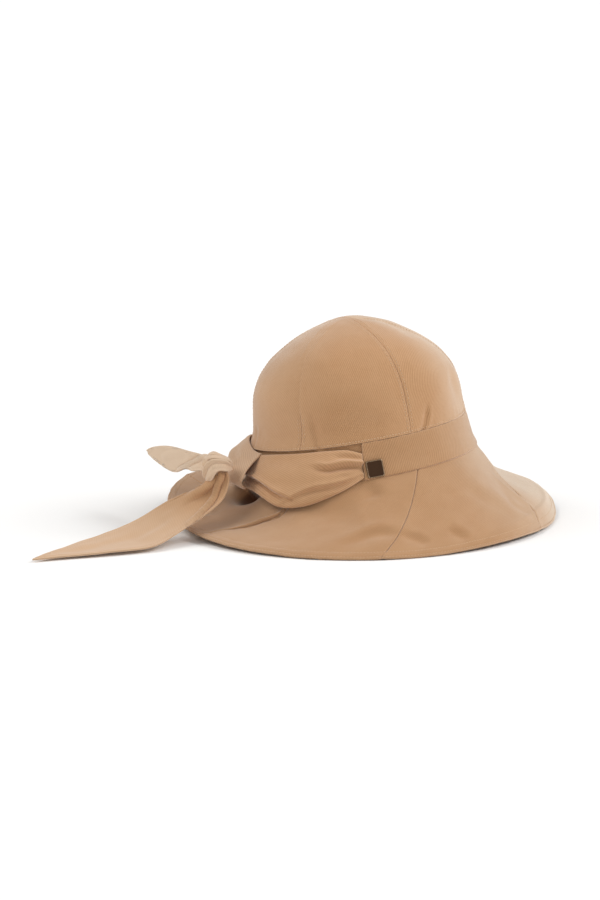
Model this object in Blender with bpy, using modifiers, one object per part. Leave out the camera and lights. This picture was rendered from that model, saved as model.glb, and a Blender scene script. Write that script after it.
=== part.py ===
"""A six-panel twill cloche hat with a stitched band and a sash tied at the back.

Frame: +X is the hat's front, +Y the wearer's left, +Z up. The hat stands on the hem of its
brim, and the origin is the bottom centre of its bounding box. Angles are in degrees round the
hat, counterclockwise from the front, so 180 is the back. Lengths are in metres.
"""

import math

import bmesh
import bpy
import numpy as np
from mathutils import Matrix, Vector

# Head ring: the seam between band and brim, on the outer surface of the cloth
HEAD_LENGTH = 0.196
HEAD_WIDTH = 0.178
RING_LIFT = 0.046
LEAN = 9.0
LEAN_TOWARDS = 134.0

# Band and crown; the crown is pushed forward, towards SHIFT_TOWARDS
BAND_HEIGHT = 0.0280
BAND_TAPER = 0.0070
CROWN_HEIGHT = 0.0915
CROWN_SHIFT = 0.0080
SHIFT_TOWARDS = -30.0
BAND_SHIFT_SHARE = 0.30
PANELS = 6
PANEL_PUFF = 0.0020
DENT_DEPTH = 0.0030

# Brim
BRIM_REACH = 0.0600
RIM_LIFT = 0.0200
HEM_DROP = 0.0012
SEAM_SWEEP = 24.0

# Sash, from each end of the front band round to the back
SASH_ANGLE = 116.5
SASH_STANDOFF = 0.0120
SASH_BELLY = 0.0140

# Knot and tails
KNOT_ALONG = 0.94
KNOT_ACROSS = 0.50
KNOT_LIFT = 0.0038
KNOT_ROUNDING = 0.0011
KNOT_DEPTH = 0.0280
KNOT_WIDTH = 0.0220
KNOT_HEIGHT = 0.0200
TAIL_LONG = 0.1620
TAIL_SHORT = 0.1000
TAIL_BELLY = 0.0100

# Badge: a plain dark metal plate with a raised frame
BADGE_WIDTH = 0.0136
BADGE_HEIGHT = 0.0136
BADGE_DEPTH = 0.0018
BADGE_FRAME = 0.0016
BADGE_RECESS = 0.0006
BADGE_CORNER = 0.0015
BADGE_ANGLE = -110.6
BADGE_RISE = 0.265

# Cloth walls and clearances
CROWN_WALL = 0.0016
BAND_WALL = 0.0020
BRIM_WALL = 0.0024
SASH_WALL = 0.0018
SEAM_GAP = 0.0005
BRIM_GAP = 0.0008
SEAT_GAP = 0.0003

# Mesh steps
ARC_STEPS = 8
CROWN_STEPS = 10
BRIM_STEPS = 8
BAND_STEPS = 3
SASH_STEPS = 6
TAIL_STEPS = 4
KNOT_STEPS = 18

# Crown profile from band to apex: height as a share of CROWN_HEIGHT, reach as a share of the
# band's upper oval, shift as a share of CROWN_SHIFT.
CROWN_COLUMNS = ("height", "reach", "shift")
CROWN_PROFILE = (
    (0.000, 1.000, 0.30),
    (0.110, 0.966, 0.50),
    (0.250, 0.950, 0.56),
    (0.400, 0.928, 0.56),
    (0.520, 0.885, 0.52),
    (0.640, 0.815, 0.45),
    (0.755, 0.705, 0.40),
    (0.865, 0.525, 0.38),
    (0.950, 0.310, 0.40),
    (0.990, 0.130, 0.50),
    (1.000, 0.008, 0.55),
)

# Dents in the crown: where, how wide in degrees and in height share, and depth as a share of
# DENT_DEPTH.
DENT_COLUMNS = ("angle", "height", "width", "spread", "depth")
DENTS = ((-30, 0.80, 24, 0.11, 1.0),)

# Brim sections every 30 degrees from the front. reach is a share of BRIM_REACH and lift of
# RIM_LIFT; the slopes are the fall of the cloth at the ring and at the rim, in degrees.
BRIM_COLUMNS = ("angle", "reach", "lift", "ring_slope", "rim_slope")
BRIM_SECTIONS = (
    (0, 1.13, 0.62, 50, 22),
    (30, 1.08, 0.66, 48, 24),
    (60, 1.00, 0.10, 50, 34),
    (90, 1.00, -0.05, 50, 40),
    (120, 1.08, 0.90, 45, 10),
    (150, 1.04, 0.85, 50, 0),
    (180, 1.00, 0.30, 58, 12),
    (210, 1.00, 0.06, 62, 26),
    (240, 1.00, -0.05, 56, 38),
    (270, 1.00, 0.07, 52, 42),
    (300, 1.03, 0.25, 54, 40),
    (330, 1.09, 0.40, 56, 36),
)

# Sash sections: top_rise as a share of BAND_HEIGHT, top_off and hem_off as shares of
# SASH_STANDOFF, belly as a share of SASH_BELLY, hem_out as a share of the way to the rim.
SASH_COLUMNS = ("angle", "top_rise", "top_off", "belly", "hem_out", "hem_off")
NEAR_SASH = (
    (-116.9, 0.72, 0.02, 0.10, 0.02, 0.26),
    (-124, 0.88, 0.03, 0.30, 0.12, 0.28),
    (-134, 0.93, 0.06, 0.55, 0.26, 0.28),
    (-144, 0.94, 0.08, 0.70, 0.36, 0.30),
    (-154, 0.94, 0.10, 0.75, 0.34, 0.40),
    (-164, 0.94, 0.12, 0.65, 0.24, 0.70),
    (-174, 0.92, 0.12, 0.50, 0.16, 1.10),
    (-181, 0.90, 0.12, 0.40, 0.12, 1.40),
)
FAR_SASH = (
    (116.9, 0.74, 0.02, 0.10, 0.02, 0.26),
    (126, 0.98, 0.25, 0.40, 0.12, 0.28),
    (138, 1.12, 0.50, 0.80, 0.20, 0.40),
    (150, 1.10, 0.55, 1.00, 0.25, 0.70),
    (162, 1.06, 0.45, 1.30, 0.28, 1.10),
    (173, 1.00, 0.35, 1.74, 0.28, 1.45),
    (183, 0.97, 0.30, 1.78, 0.27, 1.60),
)

# The long tail's two edges from the knot's underside: out and aside as shares of TAIL_LONG,
# rise as a share of that underside's height over the table; belly as a share of TAIL_BELLY.
TAIL_COLUMNS = ("far_out", "far_aside", "far_rise", "near_out", "near_aside", "near_rise", "belly")
LONG_TAIL = (
    (0.005, -0.012, 0.980, -0.004, -0.085, 0.950, 0.2),
    (0.059, 0.005, 0.882, 0.066, -0.112, 0.716, 0.5),
    (0.138, 0.044, 0.809, 0.133, -0.102, 0.496, 0.8),
    (0.243, 0.090, 0.600, 0.213, -0.098, 0.292, 0.7),
    (0.351, 0.110, 0.392, 0.298, -0.120, 0.173, 0.5),
    (0.490, 0.104, 0.257, 0.433, -0.157, 0.073, 0.4),
    (0.698, 0.060, 0.159, 0.648, -0.131, 0.067, 0.3),
    (0.835, 0.015, 0.116, 0.860, -0.086, 0.061, 0.15),
    (0.990, -0.045, 0.086, 1.010, -0.060, 0.055, 0.0),
)

# The short tail's edges in the same way from the knot's left side, with out, aside and rise
# all as shares of TAIL_SHORT and rise measured from the knot's middle.
SHORT_TAIL = (
    (0.019, -0.006, 0.068, 0.068, -0.006, -0.044, 0.1),
    (0.052, 0.229, 0.065, 0.074, 0.103, -0.061, 0.5),
    (0.062, 0.558, 0.045, 0.073, 0.241, -0.086, 0.8),
    (0.076, 0.797, 0.004, 0.072, 0.471, -0.145, 0.5),
    (0.090, 0.897, -0.033, 0.080, 0.846, -0.076, 0.0),
)


def column(table, columns, name):
    """One named column of a table, as an array."""
    return np.array([row[columns.index(name)] for row in table], float)


def blend(before, here, after, beyond, t):
    """A smooth curve from here to after, for t from 0 to 1."""
    slope_here = (after - before) / 2
    slope_after = (beyond - here) / 2
    return (
        here * (2 * t**3 - 3 * t**2 + 1)
        + slope_here * (t**3 - 2 * t**2 + t)
        + after * (3 * t**2 - 2 * t**3)
        + slope_after * (t**3 - t**2)
    )


def round_the_hat(values, angle):
    """Smooth closed interpolation of equally spaced values at an angle in degrees."""
    count = len(values)
    place = np.asarray(angle, float) / 360.0 * count
    start = np.floor(place).astype(int)
    rows = (values[(start + k) % count] for k in (-1, 0, 1, 2))
    return blend(*rows, place - start)


def down_the_table(values, share):
    """Smooth open interpolation: share 0 is the first row and 1 the last."""
    last = len(values) - 1
    place = np.clip(np.asarray(share, float), 0, 1) * last
    start = np.clip(np.floor(place).astype(int), 0, last - 1)
    rows = (values[np.clip(start + k, 0, last)] for k in (-1, 0, 1, 2))
    return blend(*rows, place - start)


def outward(angle):
    """Unit vectors that point away from the hat's axis at these angles."""
    turn = np.radians(np.asarray(angle, float))
    return np.stack([np.cos(turn), np.sin(turn), np.zeros_like(turn)], axis=-1)


def lean_matrix():
    """Turns the hat's own axis towards LEAN_TOWARDS by LEAN."""
    towards = outward(LEAN_TOWARDS)
    kx, ky = -towards[1], towards[0]
    c, s = math.cos(math.radians(LEAN)), math.sin(math.radians(LEAN))
    return np.array(
        [
            [c + kx * kx * (1 - c), kx * ky * (1 - c), ky * s],
            [kx * ky * (1 - c), c + ky * ky * (1 - c), -kx * s],
            [-ky * s, kx * s, c],
        ]
    )


def lean(points):
    """Points in the hat's own axes, from the ring's centre, as points over the table."""
    return np.asarray(points, float) @ lean_matrix().T + np.array([0, 0, RING_LIFT])


def oval(angle, inset, height, shift=0.0):
    """Points of an oval round the hat's axis, inset from the ring and at a height over it."""
    turn = np.radians(np.asarray(angle, float))
    shift = np.asarray(shift, float)[..., None] * outward(SHIFT_TOWARDS)
    flat = np.stack(
        [
            (HEAD_LENGTH / 2 - inset) * np.cos(turn),
            (HEAD_WIDTH / 2 - inset) * np.sin(turn),
            height + np.zeros_like(turn),
        ],
        axis=-1,
    )
    return flat + shift


def band_point(angle, rise, standoff=0.0):
    """The band's outer surface: rise 0 is the brim seam and 1 the crown seam."""
    rise = np.asarray(rise, float)
    shift = CROWN_SHIFT * BAND_SHIFT_SHARE * rise
    return lean(oval(angle, BAND_TAPER * rise - standoff, BAND_HEIGHT * rise, shift))


def seam_distance(angle):
    """0 on a crown seam and 1 in the middle of a panel."""
    return np.abs(np.sin(np.radians(angle - 180.0 / PANELS) * PANELS / 2))


def dent(angle, height):
    """How far the crown is pushed in at this place."""
    depth = np.zeros(np.broadcast(angle, height).shape)
    for row in DENTS:
        at, level, width, spread, share = row
        away = (np.asarray(angle) - at + 180) % 360 - 180
        depth = depth + share * np.exp(-((away / width) ** 2) - ((height - level) / spread) ** 2)
    return DENT_DEPTH * depth


def crown_point(angle, rise):
    """The crown's outer surface: rise 0 is the band seam and 1 the apex."""
    angle, rise = np.broadcast_arrays(np.asarray(angle, float), np.asarray(rise, float))
    height, reach, shift = (
        down_the_table(column(CROWN_PROFILE, CROWN_COLUMNS, name), rise)
        for name in CROWN_COLUMNS
    )
    puff = PANEL_PUFF * seam_distance(angle) * 4 * height * np.maximum(1 - height, 0) * reach
    push = puff - dent(angle, height) * reach
    turn = np.radians(angle)
    flat = np.stack(
        [
            ((HEAD_LENGTH / 2 - BAND_TAPER) * reach + push) * np.cos(turn),
            ((HEAD_WIDTH / 2 - BAND_TAPER) * reach + push) * np.sin(turn),
            BAND_HEIGHT + CROWN_HEIGHT * height,
        ],
        axis=-1,
    )
    return lean(flat + CROWN_SHIFT * shift[..., None] * outward(SHIFT_TOWARDS))


def brim_point(angle, share):
    """The brim's outer surface: share 0 is the band seam and 1 the top of the hem's edge."""
    angle, share = np.broadcast_arrays(np.asarray(angle, float), np.asarray(share, float))
    inner = band_point(angle, 0.0)
    out = outward(angle)
    up = np.array([0.0, 0.0, 1.0])
    reach, lift, ring_slope, rim_slope = (
        round_the_hat(column(BRIM_SECTIONS, BRIM_COLUMNS, name), angle)
        for name in BRIM_COLUMNS[1:]
    )
    lift = HEM_DROP + RIM_LIFT * np.maximum(lift, 0.0)
    rim = oval(angle, 0.0, 0.0) + out * BRIM_REACH * reach[..., None] + up * lift[..., None]
    length = np.linalg.norm(rim - inner, axis=-1)[..., None] / 3

    def fall(slope):
        slope = np.radians(slope)[..., None]
        return out * np.cos(slope) - up * np.sin(slope)

    near, far = inner + fall(ring_slope) * length, rim - fall(rim_slope) * length
    t = share[..., None]
    return (
        inner * (1 - t) ** 3
        + 3 * near * t * (1 - t) ** 2
        + 3 * far * t**2 * (1 - t)
        + rim * t**3
    )


def sash_point(table, along, across):
    """A half of the sash: along 0 at the band's end and 1 at the back, across 0 at its top."""
    along, across = np.broadcast_arrays(np.asarray(along, float), np.asarray(across, float))
    angle, top_rise, top_off, belly, hem_out, hem_off = (
        down_the_table(column(table, SASH_COLUMNS, name), along) for name in SASH_COLUMNS
    )
    top = band_point(angle, top_rise, SASH_STANDOFF * top_off)
    hem = brim_point(angle, hem_out)
    hem = hem + SASH_STANDOFF * hem_off[..., None] * np.array([0.0, 0.0, 1.0])
    bulge = outward(angle) * SASH_BELLY * belly[..., None]
    upper = top + (hem - top) * 0.30 + bulge
    lower = top + (hem - top) * 0.75 + bulge * 0.9
    t = across[..., None]
    return (
        top * (1 - t) ** 3
        + 3 * upper * t * (1 - t) ** 2
        + 3 * lower * t**2 * (1 - t)
        + hem * t**3
    )


def knot_middle():
    """The knot sits on the far half of the sash, straight behind the hat."""
    seat = sash_point(FAR_SASH, KNOT_ALONG, KNOT_ACROSS)
    out = SEAT_GAP + KNOT_DEPTH / 2 - KNOT_ROUNDING
    return np.array([seat[0] - out, 0.0, seat[2] + KNOT_LIFT])


def tail_point(table, sizes, base, along, across):
    """A tail: along 0 at the knot and 1 at the tip, across 0 on the far edge and 1 near."""
    along, across = np.broadcast_arrays(np.asarray(along, float), np.asarray(across, float))
    values = [down_the_table(column(table, TAIL_COLUMNS, name), along) for name in TAIL_COLUMNS]
    turned = np.array([-sizes[0], sizes[0], sizes[1]])
    far = base + np.stack(values[0:3], axis=-1) * turned
    near = base + np.stack(values[3:6], axis=-1) * turned
    forward = (far + near)[1:] - (far + near)[:-1]
    forward = np.concatenate([forward[:1], (forward[1:] + forward[:-1]) / 2, forward[-1:]])
    normal = np.cross(near - far, forward)
    normal = normal / np.linalg.norm(normal, axis=-1, keepdims=True)
    arch = np.sin(np.pi * across) * TAIL_BELLY * values[6]
    return far + (near - far) * across[..., None] + normal * arch[..., None]


def long_tail_point(along, across):
    base = knot_middle() - np.array([0.0, 0.0, KNOT_HEIGHT / 2 + SEAT_GAP])
    floor = base * np.array([1.0, 1.0, 0.0])
    return tail_point(LONG_TAIL, (TAIL_LONG, base[2]), floor, along, across)


def short_tail_point(along, across):
    base = knot_middle() + np.array([0.0, KNOT_WIDTH / 2 + SEAT_GAP, 0.0])
    return tail_point(SHORT_TAIL, (TAIL_SHORT, TAIL_SHORT), base, along, across)


def knot_point(turn, rise):
    """The knot: a wrapped lump with creases; turn goes round it and rise from -1 to 1."""
    turn, rise = np.broadcast_arrays(np.asarray(turn, float), np.asarray(rise, float))
    angle = np.radians(turn)
    lift = np.radians(90 * rise)
    crease = 1 - 0.10 * np.abs(np.sin(angle * 2 + 3.0 * rise)) ** 6 * np.cos(lift)
    round_x = np.sign(np.cos(angle)) * np.abs(np.cos(angle)) ** 0.8
    round_y = np.sign(np.sin(angle)) * np.abs(np.sin(angle)) ** 0.8
    ring = np.cos(lift) ** 0.8 * crease
    shape = np.stack(
        [
            KNOT_DEPTH / 2 * ring * round_x,
            KNOT_WIDTH / 2 * ring * round_y,
            KNOT_HEIGHT / 2 * np.sign(rise) * np.abs(np.sin(lift)) ** 0.9,
        ],
        axis=-1,
    )
    return shape + knot_middle()


def swept(angle, share):
    """The angle of a brim seam that leaves the ring at angle, share of the way out."""
    return angle - SEAM_SWEEP * np.asarray(share, float)


def material(name, colour, roughness, metallic=0.0):
    made = bpy.data.materials.new(name)
    made.use_nodes = True
    shader = made.node_tree.nodes["Principled BSDF"]
    shader.inputs["Base Color"].default_value = (*colour, 1.0)
    shader.inputs["Roughness"].default_value = roughness
    shader.inputs["Metallic"].default_value = metallic
    return made


def cloth_from_grid(name, points, wall, cloth, folder):
    """An open sheet through rows of points, given its wall on the inner side by Solidify."""
    rows, columns = points.shape[0] - 1, points.shape[1] - 1
    net = bmesh.new()
    bmesh.ops.create_grid(net, x_segments=columns, y_segments=rows, size=0.5)
    for vertex in net.verts:
        row, place = round((vertex.co.y + 0.5) * rows), round((vertex.co.x + 0.5) * columns)
        vertex.co = points[row, place]
    made = finished(name, net, cloth, folder)
    made.data.shade_smooth()
    thick = made.modifiers.new("wall", "SOLIDIFY")
    thick.thickness = wall
    thick.offset = -1.0
    thick.use_even_offset = True
    thick.use_quality_normals = True
    return made


def finished(name, net, surface, folder):
    """The object made of a mesh under construction."""
    mesh = bpy.data.meshes.new(name)
    net.to_mesh(mesh)
    net.free()
    mesh.materials.append(surface)
    made = bpy.data.objects.new(name, mesh)
    folder.objects.link(made)
    return made


def seam_inset(radius, gap=SEAM_GAP):
    """Half a seam gap, as an angle in degrees at that distance from the axis."""
    return np.degrees(np.arcsin(np.minimum(gap / 2 / radius, 1.0)))


def panel_spread():
    """Places across a panel from -1 to 1, with a narrow strip beside each seam, so that the
    walls of two neighbours stay parallel there."""
    inner = 0.94
    return np.concatenate([[-1.0], np.linspace(-inner, inner, ARC_STEPS + 1), [1.0]])[None, :]


def crown_panels(cloth, folder):
    half = 180.0 / PANELS
    rise = np.linspace(0.004, 1, CROWN_STEPS + 1)[:, None]
    reach = down_the_table(column(CROWN_PROFILE, CROWN_COLUMNS, "reach"), rise)
    inset = seam_inset(np.maximum(reach * HEAD_WIDTH / 2, SEAM_GAP))
    for index in range(PANELS):
        angle = index * 2 * half + (half - inset) * panel_spread()
        grid = crown_point(angle, rise + 0 * angle)
        cloth_from_grid(f"crown_panel_{index + 1}", grid, CROWN_WALL, cloth, folder)


def brim_panels(cloth, folder):
    half = 180.0 / PANELS
    share = np.linspace(0.005, 1, BRIM_STEPS + 1)[:, None]
    inset = seam_inset(HEAD_WIDTH / 2 + BRIM_REACH * share, BRIM_GAP)
    for index in range(PANELS):
        angle = index * 2 * half + (half - inset) * panel_spread()
        grid = brim_point(swept(angle, share), share + 0 * angle)
        hem = grid[-1:] - np.array([0.0, 0.0, HEM_DROP])
        grid = np.concatenate([grid, hem])[::-1]
        cloth_from_grid(f"brim_panel_{index + 1}", grid, BRIM_WALL, cloth, folder)


def bands(cloth, folder):
    rise = np.linspace(0.006, 0.990, BAND_STEPS + 1)[:, None]
    front = np.linspace(-SASH_ANGLE, SASH_ANGLE, 5 * ARC_STEPS + 1)[None, :]
    cloth_from_grid("band_front", band_point(front, rise), BAND_WALL, cloth, folder)
    start = SASH_ANGLE + 2 * seam_inset(HEAD_WIDTH / 2)
    back = np.linspace(start, 360 - start, 3 * ARC_STEPS + 1)[None, :]
    grid = band_point(back, rise, -(SASH_WALL + SEAM_GAP))
    cloth_from_grid("band_back", grid, BAND_WALL, cloth, folder)


def sashes(cloth, folder):
    across = np.linspace(0, 1, SASH_STEPS + 1)[:, None]
    along = np.linspace(0, 1, 2 * ARC_STEPS + 1)[None, :]
    near = sash_point(NEAR_SASH, along, across)
    far = sash_point(FAR_SASH, along, across)
    cloth_from_grid("sash_near", near, SASH_WALL, cloth, folder)
    cloth_from_grid("sash_far", far[:, ::-1], SASH_WALL, cloth, folder)


def tails(cloth, folder):
    across = np.linspace(0, 1, TAIL_STEPS + 1)[None, :]
    along = np.linspace(0, 1, 2 * ARC_STEPS + 1)[:, None]
    cloth_from_grid("tail_long", long_tail_point(along, across), SASH_WALL, cloth, folder)
    cloth_from_grid("tail_short", short_tail_point(along, across), SASH_WALL, cloth, folder)


def knot(cloth, folder):
    net = bmesh.new()
    bmesh.ops.create_uvsphere(net, u_segments=KNOT_STEPS, v_segments=KNOT_STEPS // 2, radius=1.0)
    for vertex in net.verts:
        turn = math.degrees(math.atan2(vertex.co.y, vertex.co.x))
        rise = math.degrees(math.asin(max(-1.0, min(1.0, vertex.co.z)))) / 90
        vertex.co = knot_point(turn, rise)
    finished("knot", net, cloth, folder).data.shade_smooth()


def badge(metal, folder):
    """A flat plate with round corners, its face set back inside a narrow frame."""
    net = bmesh.new()
    bmesh.ops.create_cube(net, size=1.0)
    for vertex in net.verts:
        vertex.co = vertex.co * Vector((BADGE_WIDTH, BADGE_HEIGHT, BADGE_DEPTH))
        vertex.co.z += BADGE_DEPTH / 2 + SEAT_GAP
    upright = [e for e in net.edges if abs(e.verts[0].co.z - e.verts[1].co.z) > BADGE_DEPTH / 2]
    bmesh.ops.bevel(net, geom=upright, offset=BADGE_CORNER, segments=3, affect="EDGES")
    front = [face for face in net.faces if face.normal.z > 0.9]
    bmesh.ops.inset_region(net, faces=front, thickness=BADGE_FRAME)
    bmesh.ops.inset_region(net, faces=front, thickness=BADGE_RECESS, depth=-BADGE_RECESS)
    made = finished("badge", net, metal, folder)

    middle = band_point(BADGE_ANGLE, BADGE_RISE)
    side = Vector(band_point(BADGE_ANGLE + 1, BADGE_RISE) - band_point(BADGE_ANGLE - 1, BADGE_RISE))
    side.normalize()
    up = Vector(band_point(BADGE_ANGLE, BADGE_RISE + 0.1) - middle)
    up = (up - side * up.dot(side)).normalized()
    turned = Matrix((side, up, side.cross(up))).transposed().to_4x4()
    made.matrix_world = Matrix.Translation(Vector(middle)) @ turned


def settle(folder):
    """Moves everything so that the bounding box's bottom centre is the origin."""
    bpy.context.view_layer.update()
    graph = bpy.context.evaluated_depsgraph_get()
    low, high = np.full(3, np.inf), np.full(3, -np.inf)
    for made in folder.objects:
        mesh = made.evaluated_get(graph).to_mesh()
        points = np.array([made.matrix_world @ vertex.co for vertex in mesh.vertices])
        low, high = np.minimum(low, points.min(axis=0)), np.maximum(high, points.max(axis=0))
    shift = -np.array([(low[0] + high[0]) / 2, (low[1] + high[1]) / 2, low[2]])
    for made in folder.objects:
        made.location = made.location + Vector(shift)
    return shift


def main():
    for old in list(bpy.data.objects):
        bpy.data.objects.remove(old)
    folder = bpy.data.collections.new("cloche_hat")
    bpy.context.scene.collection.children.link(folder)
    twill = material("twill", (0.50, 0.30, 0.16), 0.85)
    brass = material("aged_brass", (0.11, 0.055, 0.035), 0.45, 1.0)
    crown_panels(twill, folder)
    bands(twill, folder)
    brim_panels(twill, folder)
    sashes(twill, folder)
    knot(twill, folder)
    tails(twill, folder)
    badge(brass, folder)
    return settle(folder)


SHIFT = main()
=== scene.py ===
"""The looks of a six-panel twill cloche hat with a stitched band and a sash tied at the back.

Everything is in metres in the model's own frame: +X is the hat's front, +Y the wearer's left,
+Z up, and the hat stands on z = 0. Angles are in degrees round the hat, counterclockwise from
the front. The named sizes, tables and shape functions are the model's own; finer cloth is laid
over the same surfaces, with its seams, folds, stitches and weave.
"""

import math

import bpy
import numpy as np
from mathutils import Matrix, Vector, noise


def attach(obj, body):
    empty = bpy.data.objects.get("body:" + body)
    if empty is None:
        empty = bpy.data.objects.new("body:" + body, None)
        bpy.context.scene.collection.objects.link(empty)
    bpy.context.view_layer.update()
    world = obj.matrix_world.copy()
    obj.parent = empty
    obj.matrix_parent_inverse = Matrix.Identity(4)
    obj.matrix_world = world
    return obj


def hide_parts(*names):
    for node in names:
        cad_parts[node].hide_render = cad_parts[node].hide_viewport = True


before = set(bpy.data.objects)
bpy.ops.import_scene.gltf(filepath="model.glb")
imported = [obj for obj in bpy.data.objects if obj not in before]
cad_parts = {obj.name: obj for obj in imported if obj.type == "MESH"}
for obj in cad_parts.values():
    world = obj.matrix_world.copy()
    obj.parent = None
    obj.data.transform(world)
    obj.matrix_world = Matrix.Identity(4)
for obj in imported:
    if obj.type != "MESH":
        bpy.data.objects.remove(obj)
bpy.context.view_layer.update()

# From the hat's own axes to the model's frame
SHIFT = np.array([0.06602, 0.0, 0.00013])

# Head ring: the seam between band and brim, on the outer surface of the cloth
HEAD_LENGTH = 0.196
HEAD_WIDTH = 0.178
RING_LIFT = 0.046
LEAN = 9.0
LEAN_TOWARDS = 134.0

# Band and crown; the crown is pushed forward, towards SHIFT_TOWARDS
BAND_HEIGHT = 0.0280
BAND_TAPER = 0.0070
CROWN_HEIGHT = 0.0915
CROWN_SHIFT = 0.0080
SHIFT_TOWARDS = -30.0
BAND_SHIFT_SHARE = 0.30
PANELS = 6
PANEL_PUFF = 0.0020
DENT_DEPTH = 0.0030

# Brim
BRIM_REACH = 0.0600
RIM_LIFT = 0.0200
HEM_DROP = 0.0012
SEAM_SWEEP = 24.0

# Sash, from each end of the front band round to the back
SASH_ANGLE = 116.5
SASH_STANDOFF = 0.0120
SASH_BELLY = 0.0140

# Knot and tails
KNOT_MIDDLE = np.array([-0.13397, 0.0, 0.05573])
KNOT_DEPTH = 0.0280
KNOT_WIDTH = 0.0220
KNOT_HEIGHT = 0.0200

# Badge: a plain dark metal plate with a raised frame
BADGE_WIDTH = 0.0136
BADGE_HEIGHT = 0.0136
BADGE_DEPTH = 0.0018
BADGE_FRAME = 0.0016
BADGE_RECESS = 0.0006
BADGE_CORNER = 0.0015
BADGE_ANGLE = -111.2
BADGE_RISE = 0.245

# Cloth walls and clearances
CROWN_WALL = 0.0016
BAND_WALL = 0.0020
BRIM_WALL = 0.0024
SASH_WALL = 0.0018
SEAM_GAP = 0.0005
BRIM_GAP = 0.0008
SEAT_GAP = 0.0003

# Crown profile from band to apex: height as a share of CROWN_HEIGHT, reach as a share of the
# band's upper oval, shift as a share of CROWN_SHIFT.
CROWN_COLUMNS = ("height", "reach", "shift")
CROWN_PROFILE = (
    (0.000, 1.000, 0.30),
    (0.110, 0.966, 0.50),
    (0.250, 0.950, 0.56),
    (0.400, 0.928, 0.56),
    (0.520, 0.885, 0.52),
    (0.640, 0.815, 0.45),
    (0.755, 0.705, 0.40),
    (0.865, 0.525, 0.38),
    (0.950, 0.310, 0.40),
    (0.990, 0.130, 0.50),
    (1.000, 0.0015, 0.55),
)

# Dents in the crown: where, how wide in degrees and in height share, and depth as a share of
# DENT_DEPTH.
DENT_COLUMNS = ("angle", "height", "width", "spread", "depth")
DENTS = ((-30, 0.80, 24, 0.11, 1.0),)

# Brim sections every 30 degrees from the front. reach is a share of BRIM_REACH and lift of
# RIM_LIFT; the slopes are the fall of the cloth at the ring and at the rim, in degrees.
BRIM_COLUMNS = ("angle", "reach", "lift", "ring_slope", "rim_slope")
BRIM_SECTIONS = (
    (0, 1.13, 0.62, 50, 22),
    (30, 1.08, 0.66, 48, 24),
    (60, 1.00, 0.10, 50, 34),
    (90, 1.00, -0.05, 50, 40),
    (120, 1.08, 0.90, 45, 10),
    (150, 1.04, 0.85, 50, 0),
    (180, 1.00, 0.30, 58, 12),
    (210, 1.00, 0.06, 62, 26),
    (240, 1.00, -0.05, 56, 38),
    (270, 1.00, 0.07, 52, 42),
    (300, 1.03, 0.25, 54, 40),
    (330, 1.09, 0.40, 56, 36),
)

# Sash sections: top_rise as a share of BAND_HEIGHT, top_off and hem_off as shares of
# SASH_STANDOFF, belly as a share of SASH_BELLY, hem_out as a share of the way to the rim, and
# turn the degrees that the belly is turned round from straight out.
SASH_COLUMNS = ("angle", "top_rise", "top_off", "belly", "hem_out", "hem_off", "turn")
NEAR_SASH = (
    (-116.6, 0.72, 0.02, 0.10, 0.02, 0.26, 0),
    (-124, 0.88, 0.03, 0.30, 0.12, 0.28, 0),
    (-134, 0.93, 0.06, 0.55, 0.23, 0.28, 0),
    (-144, 0.94, 0.08, 0.70, 0.32, 0.30, 0),
    (-154, 0.94, 0.10, 0.75, 0.36, 0.48, 0),
    (-164, 0.94, 0.12, 0.65, 0.31, 0.84, 0),
    (-174, 0.92, 0.12, 0.50, 0.21, 0.74, 0),
    (-186, 0.90, 0.12, 0.36, 0.15, 0.66, 0),
)
FAR_SASH = (
    (116.6, 0.74, 0.02, 0.10, 0.02, 0.26, 0),
    (126, 0.98, 0.10, 0.40, 0.12, 0.28, 0),
    (138, 1.20, 0.14, 0.80, 0.20, 0.40, 0),
    (150, 1.24, 0.14, 1.04, 0.25, 0.70, 0),
    (162, 1.16, 0.14, 1.32, 0.28, 1.10, 2),
    (173, 1.02, 0.14, 1.70, 0.28, 1.25, 12),
    (183, 0.94, 0.12, 1.70, 0.27, 1.05, 27),
)


def column(table, columns, name):
    """One named column of a table, as an array."""
    return np.array([row[columns.index(name)] for row in table], float)


def blend(before, here, after, beyond, t):
    """A smooth curve from here to after, for t from 0 to 1."""
    slope_here = (after - before) / 2
    slope_after = (beyond - here) / 2
    return (
        here * (2 * t**3 - 3 * t**2 + 1)
        + slope_here * (t**3 - 2 * t**2 + t)
        + after * (3 * t**2 - 2 * t**3)
        + slope_after * (t**3 - t**2)
    )


def round_the_hat(values, angle):
    """Smooth closed interpolation of equally spaced values at an angle in degrees."""
    count = len(values)
    place = np.asarray(angle, float) / 360.0 * count
    start = np.floor(place).astype(int)
    rows = (values[(start + k) % count] for k in (-1, 0, 1, 2))
    return blend(*rows, place - start)


def down_the_table(values, share):
    """Smooth open interpolation: share 0 is the first row and 1 the last."""
    last = len(values) - 1
    place = np.clip(np.asarray(share, float), 0, 1) * last
    start = np.clip(np.floor(place).astype(int), 0, last - 1)
    rows = (values[np.clip(start + k, 0, last)] for k in (-1, 0, 1, 2))
    return blend(*rows, place - start)


def outward(angle):
    """Unit vectors that point away from the hat's axis at these angles."""
    turn = np.radians(np.asarray(angle, float))
    return np.stack([np.cos(turn), np.sin(turn), np.zeros_like(turn)], axis=-1)


def lean_matrix():
    """Turns the hat's own axis towards LEAN_TOWARDS by LEAN."""
    towards = outward(LEAN_TOWARDS)
    kx, ky = -towards[1], towards[0]
    c, s = math.cos(math.radians(LEAN)), math.sin(math.radians(LEAN))
    return np.array(
        [
            [c + kx * kx * (1 - c), kx * ky * (1 - c), ky * s],
            [kx * ky * (1 - c), c + ky * ky * (1 - c), -kx * s],
            [-ky * s, kx * s, c],
        ]
    )


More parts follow.
